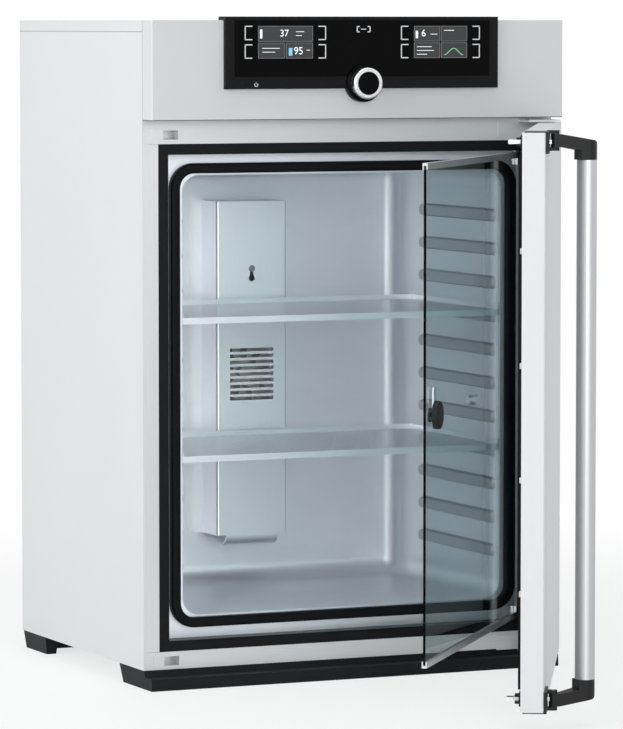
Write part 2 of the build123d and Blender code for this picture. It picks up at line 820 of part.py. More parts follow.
# Turn-and-push knob: a fixed boss with a spigot, a brushed ring that turns on it and a push centre
spigot_diameter = 30.0
spigot_bore = 20.0
spigot_length = 7.0
ring_web = 4.0
boss_y = panel_y - boss_length
ring_y = boss_y - 0.3
with BuildPart() as knob_boss:
    with BuildSketch(front_plane(panel_y)):
        with Locations((0, knob_z)):
            Circle(boss_diameter / 2)
    extrude(amount=boss_length)
    fillet(knob_boss.edges().group_by(Axis.Y)[0], radius=2.0)
    with BuildSketch(front_plane(boss_y)):
        with Locations((0, knob_z)):
            Circle(spigot_diameter / 2)
    extrude(amount=spigot_length)
    with BuildSketch(front_plane(panel_y)):
        with Locations((0, knob_z)):
            Circle(spigot_bore / 2)
    extrude(amount=boss_length + spigot_length, mode=Mode.SUBTRACT)
save(knob_boss, "knob_boss")

with BuildPart() as knob_ring:
    with BuildSketch(front_plane(ring_y)):
        with Locations((0, knob_z)):
            Circle(knob_outer / 2)
            Circle(knob_inner / 2, mode=Mode.SUBTRACT)
    extrude(amount=knob_length)
    fillet(knob_ring.edges().group_by(Axis.Y)[0].sort_by(SortBy.LENGTH)[-1], radius=2.5)
    with BuildSketch(front_plane(ring_y)):
        with Locations((0, knob_z)):
            Circle(knob_inner / 2 + 1)
            Circle(spigot_diameter / 2 + running_fit, mode=Mode.SUBTRACT)
    extrude(amount=ring_web)
save(knob_ring, "knob_ring")

button_face = 3.0
button_front = ring_y - knob_length + 1.5
with BuildPart() as confirm_button:
    with BuildSketch(front_plane(button_front)):
        with Locations((0, knob_z)):
            Circle(knob_inner / 2 - 0.3)
    extrude(amount=-button_face)
    fillet(confirm_button.edges().group_by(Axis.Y)[0], radius=1.0)
    with BuildSketch(front_plane(button_front + button_face)):
        with Locations((0, knob_z)):
            Circle(spigot_bore / 2 - running_fit)
    extrude(amount=-spigot_length)
save(confirm_button, "confirm_button")

with BuildPart() as power_button:
    with BuildSketch(front_plane(panel_y - 0.8)):
        with Locations((power_x, power_z)):
            RectangleRounded(power_width - 0.6, power_height - 0.6, 1.5)
    extrude(amount=-(power_pocket - power_travel))
save(power_button, "power_button")

# Electronics behind the fascia and in the control compartment
compartment_top_floor = floor_z + sheet
with BuildPart() as control_board:
    with BuildSketch(front_plane(housing_back)):
        with Locations((0, (panel_bottom + top_z) / 2)):
            Rectangle(panel_width * 0.7, (top_z - panel_bottom) * 0.7)
    extrude(amount=-1.6)
save(control_board, "control_board")

with BuildPart() as power_supply:
    with BuildSketch(Plane.XY.offset(compartment_top_floor)):
        with Locations((-150, face_y + cabinet_depth * 0.6)):
            Rectangle(180, 110)
    extrude(amount=62)
save(power_supply, "power_supply")

valve_depth = 50.0
valve_back = rear_y - 2 * sheet
with BuildPart() as gas_valve:
    with BuildSketch(Plane.XY.offset(compartment_top_floor)):
        with Locations((nozzle_x, valve_back - valve_depth / 2)):
            Rectangle(40, valve_depth)
    extrude(amount=2 * (nozzle_z - compartment_top_floor))
save(gas_valve, "gas_valve")

# Rear services: a gas nozzle with its nut, and a mains inlet with its recess
with BuildPart() as gas_nozzle:
    with BuildSketch(front_plane(valve_back)):
        with Locations((nozzle_x, nozzle_z)):
            Circle(nozzle_diameter / 2)
            Circle(nozzle_diameter / 4, mode=Mode.SUBTRACT)
    extrude(amount=-(nozzle_length + 2 * sheet))
    with BuildSketch(front_plane(rear_y)):
        with Locations((nozzle_x, nozzle_z)):
            RegularPolygon(nozzle_diameter, 6)
            Circle(nozzle_diameter / 2 - 1, mode=Mode.SUBTRACT)
    extrude(amount=sheet)
save(gas_nozzle, "gas_nozzle")

with BuildPart() as mains_inlet:
    with BuildSketch(front_plane(rear_y - sheet)):
        with Locations((inlet_x, inlet_z)):
            Rectangle(inlet_width, inlet_height)
    extrude(amount=inlet_depth)
    with BuildSketch(front_plane(rear_y - sheet)):
        with Locations((inlet_x, inlet_z)):
            RectangleRounded(inlet_width + 8, inlet_height + 8, 3)
    extrude(amount=-2 * sheet)
    with BuildSketch(front_plane(rear_y + sheet)):
        with Locations((inlet_x, inlet_z)):
            RectangleRounded(inlet_width * 0.6, inlet_height * 0.7, 2)
    extrude(amount=inlet_depth * 0.8, mode=Mode.SUBTRACT)
save(mains_inlet, "mains_inlet")

# Front plinth: a stepped black moulding in three lengths, its two ends serving as the front feet
plinth_front = -plinth_depth / 2
plinth_rear = plinth_depth / 2
arm_x = half_width - bracket_width * 0.6
arm_bottom = door_bottom - bracket_gap - bracket_arm
plinth_seam = 0.3
plinth_profile = [
    (plinth_front, 0),
    (plinth_front + 1, plinth_step),
    (plinth_front + plinth_lip, plinth_step),
    (face_y, base_z),
    (plinth_rear + plinth_splay, base_z),
    (plinth_rear, 0),
]
bar_half = half_width - foot_length
with BuildPart() as front_plinth:
    for start, length in (
        (-half_width, foot_length - plinth_seam),
        (-bar_half, 2 * bar_half),
        (bar_half + plinth_seam, foot_length - plinth_seam),
    ):
        with BuildSketch(side_plane(start)):
            with BuildLine():
                Polyline(*plinth_profile, close=True)
            make_face()
        extrude(amount=length)
    with BuildSketch(Plane.XY.offset(arm_bottom - plinth_seam)):
        with Locations((half_width - bracket_width / 2, face_y - plinth_lip / 2)):
            Rectangle(bracket_width + 1, plinth_lip)
    extrude(amount=base_z - arm_bottom + plinth_seam, mode=Mode.SUBTRACT)
save(front_plinth, "front_plinth")

# Rear plinth: two tapered feet and a crossbar that stays off the floor
rear_foot_y = rear_y - rear_foot_depth / 2 - 6
foot_x = half_width - rear_foot_width / 2
with BuildPart() as rear_plinth:
    with BuildSketch(Plane.XY.offset(base_z)):
        with Locations((-foot_x, rear_foot_y), (foot_x, rear_foot_y)):
            Rectangle(rear_foot_width, rear_foot_depth)
    extrude(amount=-base_z, taper=rear_foot_draft)
    with BuildSketch(Plane.XY.offset(base_z)):
        with Locations((0, rear_foot_y)):
            Rectangle(2 * (half_width - rear_foot_width - plinth_seam), crossbar_depth)
    extrude(amount=-(base_z - crossbar_lift))
save(rear_plinth, "rear_plinth")

# Outer-door hinge brackets: a thin plate on the frame, an arm over or under the door and its pin
arm_y = face_y - bracket_reach
arm_depth = bracket_reach
arm_mid_x = (arm_x + half_width) / 2
bush_length = 16.0
with BuildPart() as hinge_brackets:
    for end, out in ((door_top, 1), (door_bottom, -1)):
        arm_face = end + out * bracket_gap
        with BuildSketch(Plane.XY.offset(arm_face)):
            with Locations((arm_mid_x, face_y - arm_depth / 2)):
                Rectangle(half_width - arm_x, arm_depth)
        extrude(amount=out * bracket_arm)
        with BuildSketch(front_plane(face_y)):
            with Locations((half_width - bracket_width / 2, arm_face - out * bracket_height / 2)):
                Rectangle(bracket_width, bracket_height)
        extrude(amount=bracket_sheet)
        with BuildSketch(Plane.XY.offset(arm_face)):
            with Locations((hinge_x, hinge_y)):
                Circle(hinge_pin / 2)
        extrude(amount=-out * (bush_length - 2))
save(hinge_brackets, "hinge_brackets")

# Keepers on the left of the frame. Each hook has a flush plate with a slot and a steel cup behind it,
# and the glass door's latch has a strip behind its slot in the thermal break.
cup_left = keeper_x - keeper_slot_width / 2 - 3 * cup_play
cup_right = keeper_x + keeper_slot_width / 2 + cup_play
cup_height = keeper_slot_height + cup_play
with BuildPart() as latch_keepers:
    for height in hook_heights:
        with BuildSketch(front_plane(face_y)):
            with Locations((keeper_x + keeper_width / 8, height)):
                Rectangle(keeper_width, keeper_height)
            with Locations((keeper_x, height)):
                Rectangle(keeper_slot_width, keeper_slot_height, mode=Mode.SUBTRACT)
        extrude(amount=bracket_sheet)
        with BuildSketch(front_plane(face_y + sheet)):
            with Locations(((cup_left + cup_right) / 2, height)):
                Rectangle(cup_right - cup_left + 2 * bracket_sheet, cup_height + 2 * bracket_sheet)
        extrude(amount=-cup_depth)
        with BuildSketch(front_plane(face_y + sheet)):
            with Locations(((cup_left + cup_right) / 2, height)):
                Rectangle(cup_right - cup_left, cup_height)
        extrude(amount=-(cup_depth - bracket_sheet), mode=Mode.SUBTRACT)
    with BuildSketch(side_plane(-recess_half - break_thickness)):
        with Locations((latch_plane_y, latch_z)):
            Rectangle(recess_depth * 0.4, tongue_slot * 1.5)
    extrude(amount=-bracket_sheet)
save(latch_keepers, "latch_keepers")

# Outer door: a folded shell with a return all round its inner side, a core and an inner panel
door_length = door_free_edge - door_hinge_edge
door_height = door_top - door_bottom
door_depth = door_outer_skin + door_inner_skin
door_mid_u = (door_free_edge + door_hinge_edge) / 2
door_mid_v = (door_outer_skin - door_inner_skin) / 2
guide_u = pivot_u + guide_shift
hook_spots = [(guide_u, height) for height in hook_heights]
core_corner = door_corner - door_sheet
with BuildPart() as door_shell:
    with BuildSketch(door_plan.offset(door_bottom)):
        with Locations((door_mid_u, door_mid_v)):
            RectangleRounded(door_length, door_depth, door_corner)
    extrude(amount=door_height)
    with BuildSketch(door_plan.offset(door_bottom + door_sheet)):
        with Locations((door_mid_u, door_mid_v)):
            RectangleRounded(door_length - 2 * door_sheet, door_depth - 2 * door_sheet, core_corner)
    extrude(amount=door_height - 2 * door_sheet, mode=Mode.SUBTRACT)
    with BuildSketch(door_face.offset(door_inner_skin)):
        with Locations((door_mid_u, door_middle)):
            Rectangle(door_length - 2 * panel_margin, door_height - 2 * panel_margin)
    extrude(amount=-door_sheet, mode=Mode.SUBTRACT)
    with BuildSketch(door_face.offset(-door_outer_skin)):
        with Locations(*hook_spots):
            Rectangle(slot_width, slot_height)
    extrude(amount=door_depth, mode=Mode.SUBTRACT)
    with BuildSketch(door_plan.offset(door_bottom)):
        Circle(bush_diameter / 2)
    extrude(amount=door_height, mode=Mode.SUBTRACT)
save(door_shell, "door_shell")

with BuildPart() as door_inner_panel:
    with BuildSketch(door_face.offset(door_inner_skin - door_sheet)):
        with Locations((door_mid_u, door_middle)):
            Rectangle(door_length - 2 * panel_margin, door_height - 2 * panel_margin)
        with Locations(*hook_spots):
            Rectangle(slot_width, slot_height, mode=Mode.SUBTRACT)
    extrude(amount=door_sheet)
save(door_inner_panel, "door_inner_panel")

with BuildPart() as door_core:
    with BuildSketch(door_plan.offset(door_bottom + door_sheet)):
        with Locations((door_mid_u, door_mid_v)):
            RectangleRounded(door_length - 2 * door_sheet, door_depth - 2 * door_sheet, core_corner)
    extrude(amount=door_height - 2 * door_sheet)
    with BuildSketch(door_face.offset(-door_outer_skin)):
        with Locations(*hook_spots):
            Rectangle(slot_width, slot_height)
    extrude(amount=door_depth, mode=Mode.SUBTRACT)
    with BuildSketch(door_plan.offset(door_bottom), door_plan.offset(door_top - bush_length)):
        Circle(bush_diameter / 2)
    extrude(amount=bush_length, mode=Mode.SUBTRACT)
save(door_core, "door_core")

# Door seal: a black ring on the inner panel that meets the thermal break when the door is shut
seal_mid_u = hinge_x
seal_outer_width = 2 * opening_half_width - 1.2
seal_outer_height = opening_height - 1.2
with BuildPart() as door_seal:
    with BuildSketch(door_face.offset(door_inner_skin)):
        with Locations((seal_mid_u, opening_mid)):
            RectangleRounded(seal_outer_width, seal_outer_height, seal_width * 0.6)
            Rectangle(
                seal_outer_width - 2 * seal_width,
                seal_outer_height - 2 * seal_width,
                mode=Mode.SUBTRACT,
            )
    extrude(amount=seal_height)
save(door_seal, "door_seal")

with BuildPart() as door_plugs:
    with BuildSketch(door_face.offset(door_inner_skin)):
        with Locations((door_free_edge - plug_margin, door_middle)):
            with GridLocations(0, plug_pitch, 1, 4):
                Circle(plug_diameter / 2)
    extrude(amount=plug_proud, taper=15)
save(door_plugs, "door_plugs")

# Corner caps: black end plates at the door's free edge, each with the two fixed ears of a hinge
# barrel for the handle, and a slot that the hook's lever passes through
barrel_heights = (door_middle + barrel_offset, door_middle - barrel_offset)
ear_start = hub_height / 2 + ear_gap
cap_face = door_outer_skin + cap_thickness
with BuildPart() as corner_caps:
    for end, out, barrel in ((door_top, 1, barrel_heights[0]), (door_bottom, -1, barrel_heights[1])):
        cap_mid = end + out * (cap_lip - cap_height) / 2
        with BuildSketch(door_face.offset(-cap_face)):
            with Locations((door_free_edge - cap_width / 2, cap_mid)):
                Rectangle(cap_width, cap_height + cap_lip)
        extrude(amount=cap_thickness)
        with BuildSketch(door_plan.offset(end)):
            with Locations((door_free_edge - cap_width / 2, (cap_face - door_inner_skin + door_corner) / 2)):
                Rectangle(cap_width, cap_face + door_inner_skin - door_corner)
        extrude(amount=out * cap_lip)
        with BuildSketch(
            door_plan.offset(barrel + ear_start),
            door_plan.offset(barrel - ear_start - ear_height),
        ):
            with Locations((pivot_u, pivot_out)):
                Circle(barrel_diameter / 2)
            with Locations((pivot_u, (pivot_out + door_outer_skin) / 2)):
                Rectangle(barrel_diameter, pivot_out - door_outer_skin)
        extrude(amount=ear_height)
        with BuildSketch(door_plan.offset(barrel - ear_start - ear_height)):
            with Locations((pivot_u, pivot_out)):
                Circle(pivot_pin / 2 + slip)
        extrude(amount=2 * (ear_start + ear_height), mode=Mode.SUBTRACT)
    with BuildSketch(door_face.offset(-cap_face)):
        with Locations(*hook_spots):
            Rectangle(slot_width, slot_height)
    extrude(amount=cap_thickness, mode=Mode.SUBTRACT)
save(corner_caps, "corner_caps")

with BuildPart() as handle_pins:
    with BuildSketch(*[door_plan.offset(z - ear_start - ear_height) for z in barrel_heights]):
        with Locations((pivot_u, pivot_out)):
            Circle(pivot_pin / 2)
    extrude(amount=2 * (ear_start + ear_height))
save(handle_pins, "handle_pins")

# Latch guides: black noses on the inner panel that centre in the keeper slots as the door shuts
with BuildPart() as latch_guides:
    with BuildSketch(door_face.offset(door_inner_skin)):
        with Locations(*hook_spots):
            Rectangle(guide_width, guide_height)
    extrude(amount=guide_base)
    for spot in hook_spots:
        with BuildSketch(door_face.offset(door_inner_skin + guide_base)):
            with Locations(spot):
                Rectangle(guide_nose_width, guide_nose_height)
        with BuildSketch(door_face.offset(door_inner_skin + guide_reach)):
            with Locations(spot):
                Rectangle(guide_tip_width, guide_tip_height)
        loft()
    with BuildSketch(door_face.offset(door_inner_skin)):
        with Locations(*hook_spots):
            Rectangle(slot_width, slot_height)
    extrude(amount=guide_base, mode=Mode.SUBTRACT)
    with BuildSketch(door_face.offset(door_inner_skin + guide_base)):
        with Locations(*hook_spots):
            Rectangle(guide_width, slot_height)
    extrude(amount=guide_reach, mode=Mode.SUBTRACT)
save(latch_guides, "latch_guides")

with BuildPart() as door_bushes:
    with BuildSketch(door_plan.offset(door_bottom), door_plan.offset(door_top - bush_length)):
        Circle(bush_diameter / 2)
        Circle(hinge_pin / 2 + running_fit, mode=Mode.SUBTRACT)
    extrude(amount=bush_length)
save(door_bushes, "door_bushes")

# Handle: a long tube carried by two black arms, which pivot in the caps' ears. Each arm runs in plan
# from its small hub to the tube, falls towards the middle of the door and turns down into the tube.
arm_run = math.hypot(tube_offset, tube_out - pivot_out)
arm_along = door_plan.x_dir * (-tube_offset / arm_run) + door_plan.y_dir * ((tube_out - pivot_out) / arm_run)
arm_side = arm_along.cross(Vector(0, 0, 1))
elbow_drop = barrel_offset - tube_half_length
elbow_radius = 11.0
arm_slope = math.tan(math.radians(arm_fall))
elbow_inner = arm_run - tube_diameter / 2
elbow_outer = arm_run + tube_diameter / 2
tube_u = pivot_u - tube_offset
spigot_fit = tube_diameter / 2 - tube_wall - slip
spigot_depth = 18.0
hook_root = pivot_pin / 2 + 0.5
arm_start = barrel_diameter / 2 + 0.5
outer_fall = (elbow_outer - arm_start) * arm_slope
inner_fall = (elbow_inner - arm_start) * arm_slope
for name, out, barrel, hook_z in (
    ("upper_handle_arm", 1, barrel_heights[0], hook_heights[0]),
    ("lower_handle_arm", -1, barrel_heights[1], hook_heights[1]),
):
    pivot = door_plan.from_local_coords(Vector(pivot_u, pivot_out, barrel))
    arm_plane = Plane(origin=pivot, x_dir=arm_along, z_dir=arm_side)
    outer_corner = (elbow_outer, out * (arm_height / 2 - outer_fall))
    with BuildPart() as handle_arm:
        with BuildSketch(arm_plane) as arm_profile:
            with BuildLine():
                Polyline(
                    (0, out * arm_height / 2),
                    (arm_start, out * arm_height / 2),
                    outer_corner,
                    (elbow_outer, -out * elbow_drop),
                    (elbow_inner, -out * elbow_drop),
                    (elbow_inner, -out * (arm_height / 2 + inner_fall)),
                    (arm_start, -out * arm_height / 2),
                    (0, -out * arm_height / 2),
                    close=True,
                )
            make_face()
            fillet(arm_profile.vertices().sort_by_distance(outer_corner)[0], radius=elbow_radius)
        extrude(amount=tube_diameter, both=True)
        with BuildSketch(door_plan.offset(barrel - tube_diameter * 2)):
            with Locations((pivot_u, pivot_out)):
                Circle(barrel_diameter / 2)
            with Locations((tube_u, tube_out)):
                Circle(tube_diameter / 2)
            make_hull()
        extrude(amount=tube_diameter * 4, mode=Mode.INTERSECT)
        with BuildSketch(door_plan.offset(barrel - hub_height / 2)):
            with Locations((pivot_u, pivot_out)):
                Circle(barrel_diameter / 2)
        extrude(amount=hub_height)
        with BuildSketch(door_plan.offset(barrel - out * elbow_drop)):
            with Locations((tube_u, tube_out)):
                Circle(spigot_fit)
        extrude(amount=-out * spigot_depth)
        with BuildSketch(door_plan.offset(barrel - hub_height)):
            with Locations((pivot_u, pivot_out)):
                Circle(pivot_pin / 2 + running_fit)
        extrude(amount=2 * hub_height, mode=Mode.SUBTRACT)
        with BuildSketch(door_plan.offset(hook_z - hook_thickness / 2)):
            with Locations((pivot_u, pivot_out - hook_root - barrel_diameter / 2)):
                Rectangle(hook_width, barrel_diameter)
        extrude(amount=hook_thickness, mode=Mode.SUBTRACT)
    save(handle_arm, name)

with BuildPart() as handle_tube:
    with BuildSketch(door_plan.offset(door_middle - tube_half_length)):
        with Locations((tube_u, tube_out)):
            Circle(tube_diameter / 2)
            Circle(tube_diameter / 2 - tube_wall, mode=Mode.SUBTRACT)
    extrude(amount=2 * tube_half_length)
save(handle_tube, "handle_tube")

# Hooks: flat steel levers that seat in the hubs and run through the door to the keepers
with BuildPart() as latch_hooks:
    with BuildSketch(*[door_plan.offset(z - hook_thickness / 2) for z in hook_heights]):
        with BuildLine():
            Polyline(
                (pivot_u - hook_width / 2, pivot_out - hook_root),
                (pivot_u - hook_width / 2, -hook_reach),
                (pivot_u + hook_width / 2 + hook_nose, -hook_reach),
                (pivot_u + hook_width / 2 + hook_nose, hook_nose_length - hook_reach),
                (pivot_u + hook_width / 2, hook_nose_length - hook_reach),
                (pivot_u + hook_width / 2, pivot_out - hook_root),
                close=True,
            )
        make_face()
    extrude(amount=hook_thickness)
save(latch_hooks, "latch_hooks")

# Inner glass door: a pane in two steel channels, with clamps beside the hinge pins
pane_mid_u = (pane_hinge_edge + pane_free_edge) / 2
pane_length = pane_free_edge - pane_hinge_edge
pane_low = pane_bottom + channel_web
pane_high = pane_top - channel_web
with BuildPart() as glass_pane:
    with BuildSketch(glass_face.offset(-pane_thickness / 2)):
        with Locations((pane_mid_u, (pane_low + pane_high) / 2)):
            Rectangle(pane_length, pane_high - pane_low)
        with Locations((latch_u, latch_z)):
            Circle(latch_shaft / 2 + running_fit, mode=Mode.SUBTRACT)
    extrude(amount=pane_thickness)
save(glass_pane, "glass_pane")

channel_mid_u = (channel_hinge_edge + pane_free_edge) / 2
channel_length = pane_free_edge - channel_hinge_edge
with BuildPart() as glass_channels:
    for end, out in ((pane_top, 1), (pane_bottom, -1)):
        with BuildSketch(glass_plan.offset(end)):
            with Locations((channel_mid_u, 0)):
                Rectangle(channel_length, channel_thickness)
        extrude(amount=-out * channel_height)
        with BuildSketch(glass_plan.offset(end - out * channel_web)):
            with Locations((channel_mid_u, 0)):
                Rectangle(channel_length, pane_thickness)
        extrude(amount=-out * channel_height, mode=Mode.SUBTRACT)
        with BuildSketch(glass_plan.offset(end)):
            Circle(glass_pin / 2 + running_fit)
        extrude(amount=-out * channel_web, mode=Mode.SUBTRACT)
save(glass_channels, "glass_channels")

with BuildPart() as glass_clamps:
    with BuildSketch(
        glass_plan.offset(pane_top - channel_height - clamp_height),
        glass_plan.offset(pane_bottom + channel_height),
    ):
        Rectangle(clamp_width, clamp_thickness)
        Rectangle(clamp_width, pane_thickness, mode=Mode.SUBTRACT)
    extrude(amount=clamp_height)
save(glass_clamps, "glass_clamps")

# Pins of the glass door, held in the thermal break above and below
with BuildPart() as glass_hinge_pins:
    for leg, end, out in (
        (recess_top + break_thickness, pane_high, 1),
        (recess_bottom - break_thickness, pane_low, -1),
    ):
        with BuildSketch(Plane.XY.offset(leg)):
            with Locations((glass_hinge_x, glass_hinge_y)):
                Circle(glass_pin / 2)
        extrude(amount=-out * (abs(leg - end) - 0.3))
save(glass_hinge_pins, "glass_hinge_pins")

# Latch of the glass door: a black knob whose shaft passes through the pane to a washer inside, and a
# steel tongue that swings from upright into a slot in the thermal break
tongue_outer = pane_thickness / 2 + tongue_gap + tongue_thickness
tongue_inner = pane_thickness / 2 + tongue_gap
with BuildPart() as latch_knob:
    with BuildSketch(glass_face.offset(-tongue_outer)):
        with Locations((latch_u, latch_z)):
            Circle(latch_disc / 2)
    extrude(amount=-latch_disc_depth)
    fillet(latch_knob.edges().sort_by(lambda e: glass_face.to_local_coords(e.center()).Z)[0], radius=3)
    with BuildSketch(glass_face.offset(-tongue_outer)):
        with Locations((latch_u, latch_z)):
            Circle(latch_shaft / 2)
    extrude(amount=tongue_outer + pane_thickness / 2 + 0.3)
    with BuildSketch(glass_face.offset(pane_thickness / 2 + 0.3)):
        with Locations((latch_u, latch_z)):
            Circle(latch_washer / 2)
    extrude(amount=tongue_thickness)
save(latch_knob, "latch_knob")

with BuildPart() as latch_tongue:
    with BuildSketch(glass_face.offset(-tongue_outer)):
        with Locations((latch_u, latch_z + (tongue_reach - tongue_flat / 2) / 2)):
            SlotOverall(tongue_reach + tongue_flat / 2, tongue_flat, rotation=90)
        with Locations((latch_u, latch_z)):
            Circle(latch_shaft / 2, mode=Mode.SUBTRACT)
    extrude(amount=tongue_thickness)
save(latch_tongue, "latch_tongue")
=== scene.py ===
import math

import bmesh
import bpy
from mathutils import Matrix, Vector


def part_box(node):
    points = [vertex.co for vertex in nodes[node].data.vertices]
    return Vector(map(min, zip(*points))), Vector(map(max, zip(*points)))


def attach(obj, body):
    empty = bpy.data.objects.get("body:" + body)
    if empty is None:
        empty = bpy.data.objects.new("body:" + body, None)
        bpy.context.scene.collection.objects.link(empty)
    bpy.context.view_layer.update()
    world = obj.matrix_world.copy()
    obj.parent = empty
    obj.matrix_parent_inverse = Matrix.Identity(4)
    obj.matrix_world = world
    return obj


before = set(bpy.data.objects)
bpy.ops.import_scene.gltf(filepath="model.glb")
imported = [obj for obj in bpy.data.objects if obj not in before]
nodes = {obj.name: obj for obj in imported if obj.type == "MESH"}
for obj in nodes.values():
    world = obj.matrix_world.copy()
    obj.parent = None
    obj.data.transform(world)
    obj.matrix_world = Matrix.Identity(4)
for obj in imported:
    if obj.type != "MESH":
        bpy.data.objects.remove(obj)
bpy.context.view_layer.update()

# Studio: the camera stands left of the cabinet at about its top's height, on a long lens, and looks
# slightly down. The floor and the world are pale, and large soft lamps light the object.
camera_data = bpy.data.cameras.new("camera")
camera_data.sensor_width = 36.0
camera_data.lens = 225.51
camera_pitch_down = 4.282
camera_turn = -24.2775
camera = bpy.data.objects.new("camera", camera_data)
camera.location = (-3.0603, -6.6584, 1.0502)
camera.rotation_euler = (math.radians(90 - camera_pitch_down), 0, math.radians(camera_turn))
bpy.context.scene.collection.objects.link(camera)
bpy.context.scene.camera = camera
bpy.context.scene.view_settings.view_transform = "Standard"


def area_lamp(name, place, target, size, watts):
    """A square soft lamp that faces a target point."""
    data = bpy.data.lights.new(name, "AREA")
    data.shape = "SQUARE"
    data.size = size
    data.energy = watts
    lamp = bpy.data.objects.new(name, data)
    lamp.location = place
    lamp.rotation_euler = (Vector(target) - Vector(place)).to_track_quat("-Z", "Y").to_euler()
    bpy.context.scene.collection.objects.link(lamp)


cabinet_centre = (0.0, 0.1, 0.55)
for name, place, size, watts in (
    ("side_lamp", (-4.2, -0.6, 2.4), 3.0, 104),
    ("front_lamp", (-1.0, -5.0, 1.2), 2.6, 84),
    ("top_lamp", (0.2, 0.2, 4.4), 3.2, 38),
    ("right_lamp", (3.6, -1.2, 2.0), 2.4, 9),
):
    area_lamp(name, place, cabinet_centre, size, watts)


def set_inputs(node, values):
    """Set a node's input values by the names of their sockets."""
    for label, value in values.items():
        node.inputs[label].default_value = value


def add_node(tree, kind, values=None, **settings):
    """A new node with the given properties and input values."""
    node = tree.nodes.new(kind)
    for label, value in settings.items():
        setattr(node, label, value)
    set_inputs(node, values or {})
    return node


def wire(tree, *links):
    """Link each source socket to its target."""
    for source, target in links:
        tree.links.new(source, target)


def calculate(tree, operation, *terms, kind="ShaderNodeMath", output=0):
    """The result of a maths node whose terms are sockets, which get linked, or plain values."""
    node = add_node(tree, kind, operation=operation)
    for term, socket in zip(terms, node.inputs):
        if isinstance(term, bpy.types.NodeSocket):
            tree.links.new(term, socket)
        else:
            socket.default_value = term
    return node.outputs[output]


def calculate_vector(tree, operation, *terms):
    """The same for vectors, where a length comes out as a value."""
    output = "Value" if operation == "LENGTH" else "Vector"
    return calculate(tree, operation, *terms, kind="ShaderNodeVectorMath", output=output)


def seen_directly(tree):
    """1 for rays from the camera, through glass and off a mirror, and 0 for those that only light."""
    path = add_node(tree, "ShaderNodeLightPath").outputs
    direct = calculate(tree, "MAXIMUM", path["Is Camera Ray"], path["Is Transmission Ray"])
    return calculate(tree, "MAXIMUM", direct, path["Is Glossy Ray"])


def new_material(name):
    """A material with nodes, and its tree and Principled shader."""
    material = bpy.data.materials.new(name)
    material.use_nodes = True
    tree = material.node_tree
    return material, tree, tree.nodes["Principled BSDF"]


backdrop_shown = (1.0, 1.0, 1.0, 1.0)
backdrop_light = (0.40, 0.41, 0.42, 1.0)
factor_in, first_color_in, second_color_in, color_out = 0, 6, 7, 2
world = bpy.data.worlds.new("studio")
bpy.context.scene.world = world
world.use_nodes = True
world_tree = world.node_tree
backdrop = add_node(world_tree, "ShaderNodeMix", data_type="RGBA")
backdrop.inputs[first_color_in].default_value = backdrop_light
backdrop.inputs[second_color_in].default_value = backdrop_shown
wire(
    world_tree,
    (seen_directly(world_tree), backdrop.inputs[factor_in]),
    (backdrop.outputs[color_out], world_tree.nodes["Background"].inputs["Color"]),
)

floor_reach = 14.0
floor_shadow_reach = 1.1
floor_white_from = 2.4
floor_near_share = 0.72
floor_corners = [
    (x * floor_reach, y * floor_reach, 0) for x, y in ((-1, -1), (1, -1), (1, 1), (-1, 1))
]
floor_mesh = bpy.data.meshes.new("floor")
floor_mesh.from_pydata(floor_corners, [], [(0, 1, 2, 3)])
floor = bpy.data.objects.new("floor", floor_mesh)
bpy.context.scene.collection.objects.link(floor)
floor_paint, floor_tree, floor_shader = new_material("floor_paint")
set_inputs(
    floor_shader,
    {"Base Color": (0.93, 0.93, 0.93, 1), "Roughness": 0.6, "Specular IOR Level": 0.15},
)
floor_mesh.materials.append(floor_paint)
floor_place = add_node(floor_tree, "ShaderNodeTexCoord")
floor_distance = calculate_vector(floor_tree, "LENGTH", floor_place.outputs["Object"])
floor_fade = add_node(
    floor_tree,
    "ShaderNodeMapRange",
    {
        "From Min": floor_shadow_reach,
        "From Max": floor_white_from,
        "To Min": floor_near_share,
    },
    interpolation_type="SMOOTHSTEP",
)
floor_white = calculate(
    floor_tree, "MULTIPLY", floor_fade.outputs["Result"], seen_directly(floor_tree)
)
floor_glow = add_node(floor_tree, "ShaderNodeEmission")
floor_mix = add_node(floor_tree, "ShaderNodeMixShader")
wire(
    floor_tree,
    (floor_distance, floor_fade.inputs["Value"]),
    (floor_white, floor_mix.inputs[0]),
    (floor_shader.outputs[0], floor_mix.inputs[1]),
    (floor_glow.outputs[0], floor_mix.inputs[2]),
    (floor_mix.outputs[0], floor_tree.nodes["Material Output"].inputs["Surface"]),
)

# Cabinet panels: folded sheet steel in a light grey powder coat, with the side panels, the top cover
# and the fascia as separate foldings and painted shadow lines along the gaps between them. The
# fascia's copy of the coat is a little darker, as painted shade. The node group holds the fine
# orange peel and faint clouding of a powder coat, a moulding or rubber.
socket_kinds = {"f": "NodeSocketFloat", "c": "NodeSocketColor", "v": "NodeSocketVector"}


def start_group(name, inputs, outputs):
    """An empty shader node group with named float, colour or vector sockets."""
    group = bpy.data.node_groups.new(name, "ShaderNodeTree")
    for in_out, sockets in (("INPUT", inputs), ("OUTPUT", outputs)):
        for label, kind in sockets:
            group.interface.new_socket(label, in_out=in_out, socket_type=socket_kinds[kind])
    source = group.nodes.new("NodeGroupInput").outputs
    target = group.nodes.new("NodeGroupOutput").inputs
    return group, source, target


def scale_color(tree, color, factor):
    """A colour times a value."""
    scaled = add_node(tree, "ShaderNodeVectorMath", operation="SCALE")
    wire(tree, (color, scaled.inputs[0]), (factor, scaled.inputs["Scale"]))
    return scaled.outputs[0]


noise_low = 0.3
noise_high = 0.7


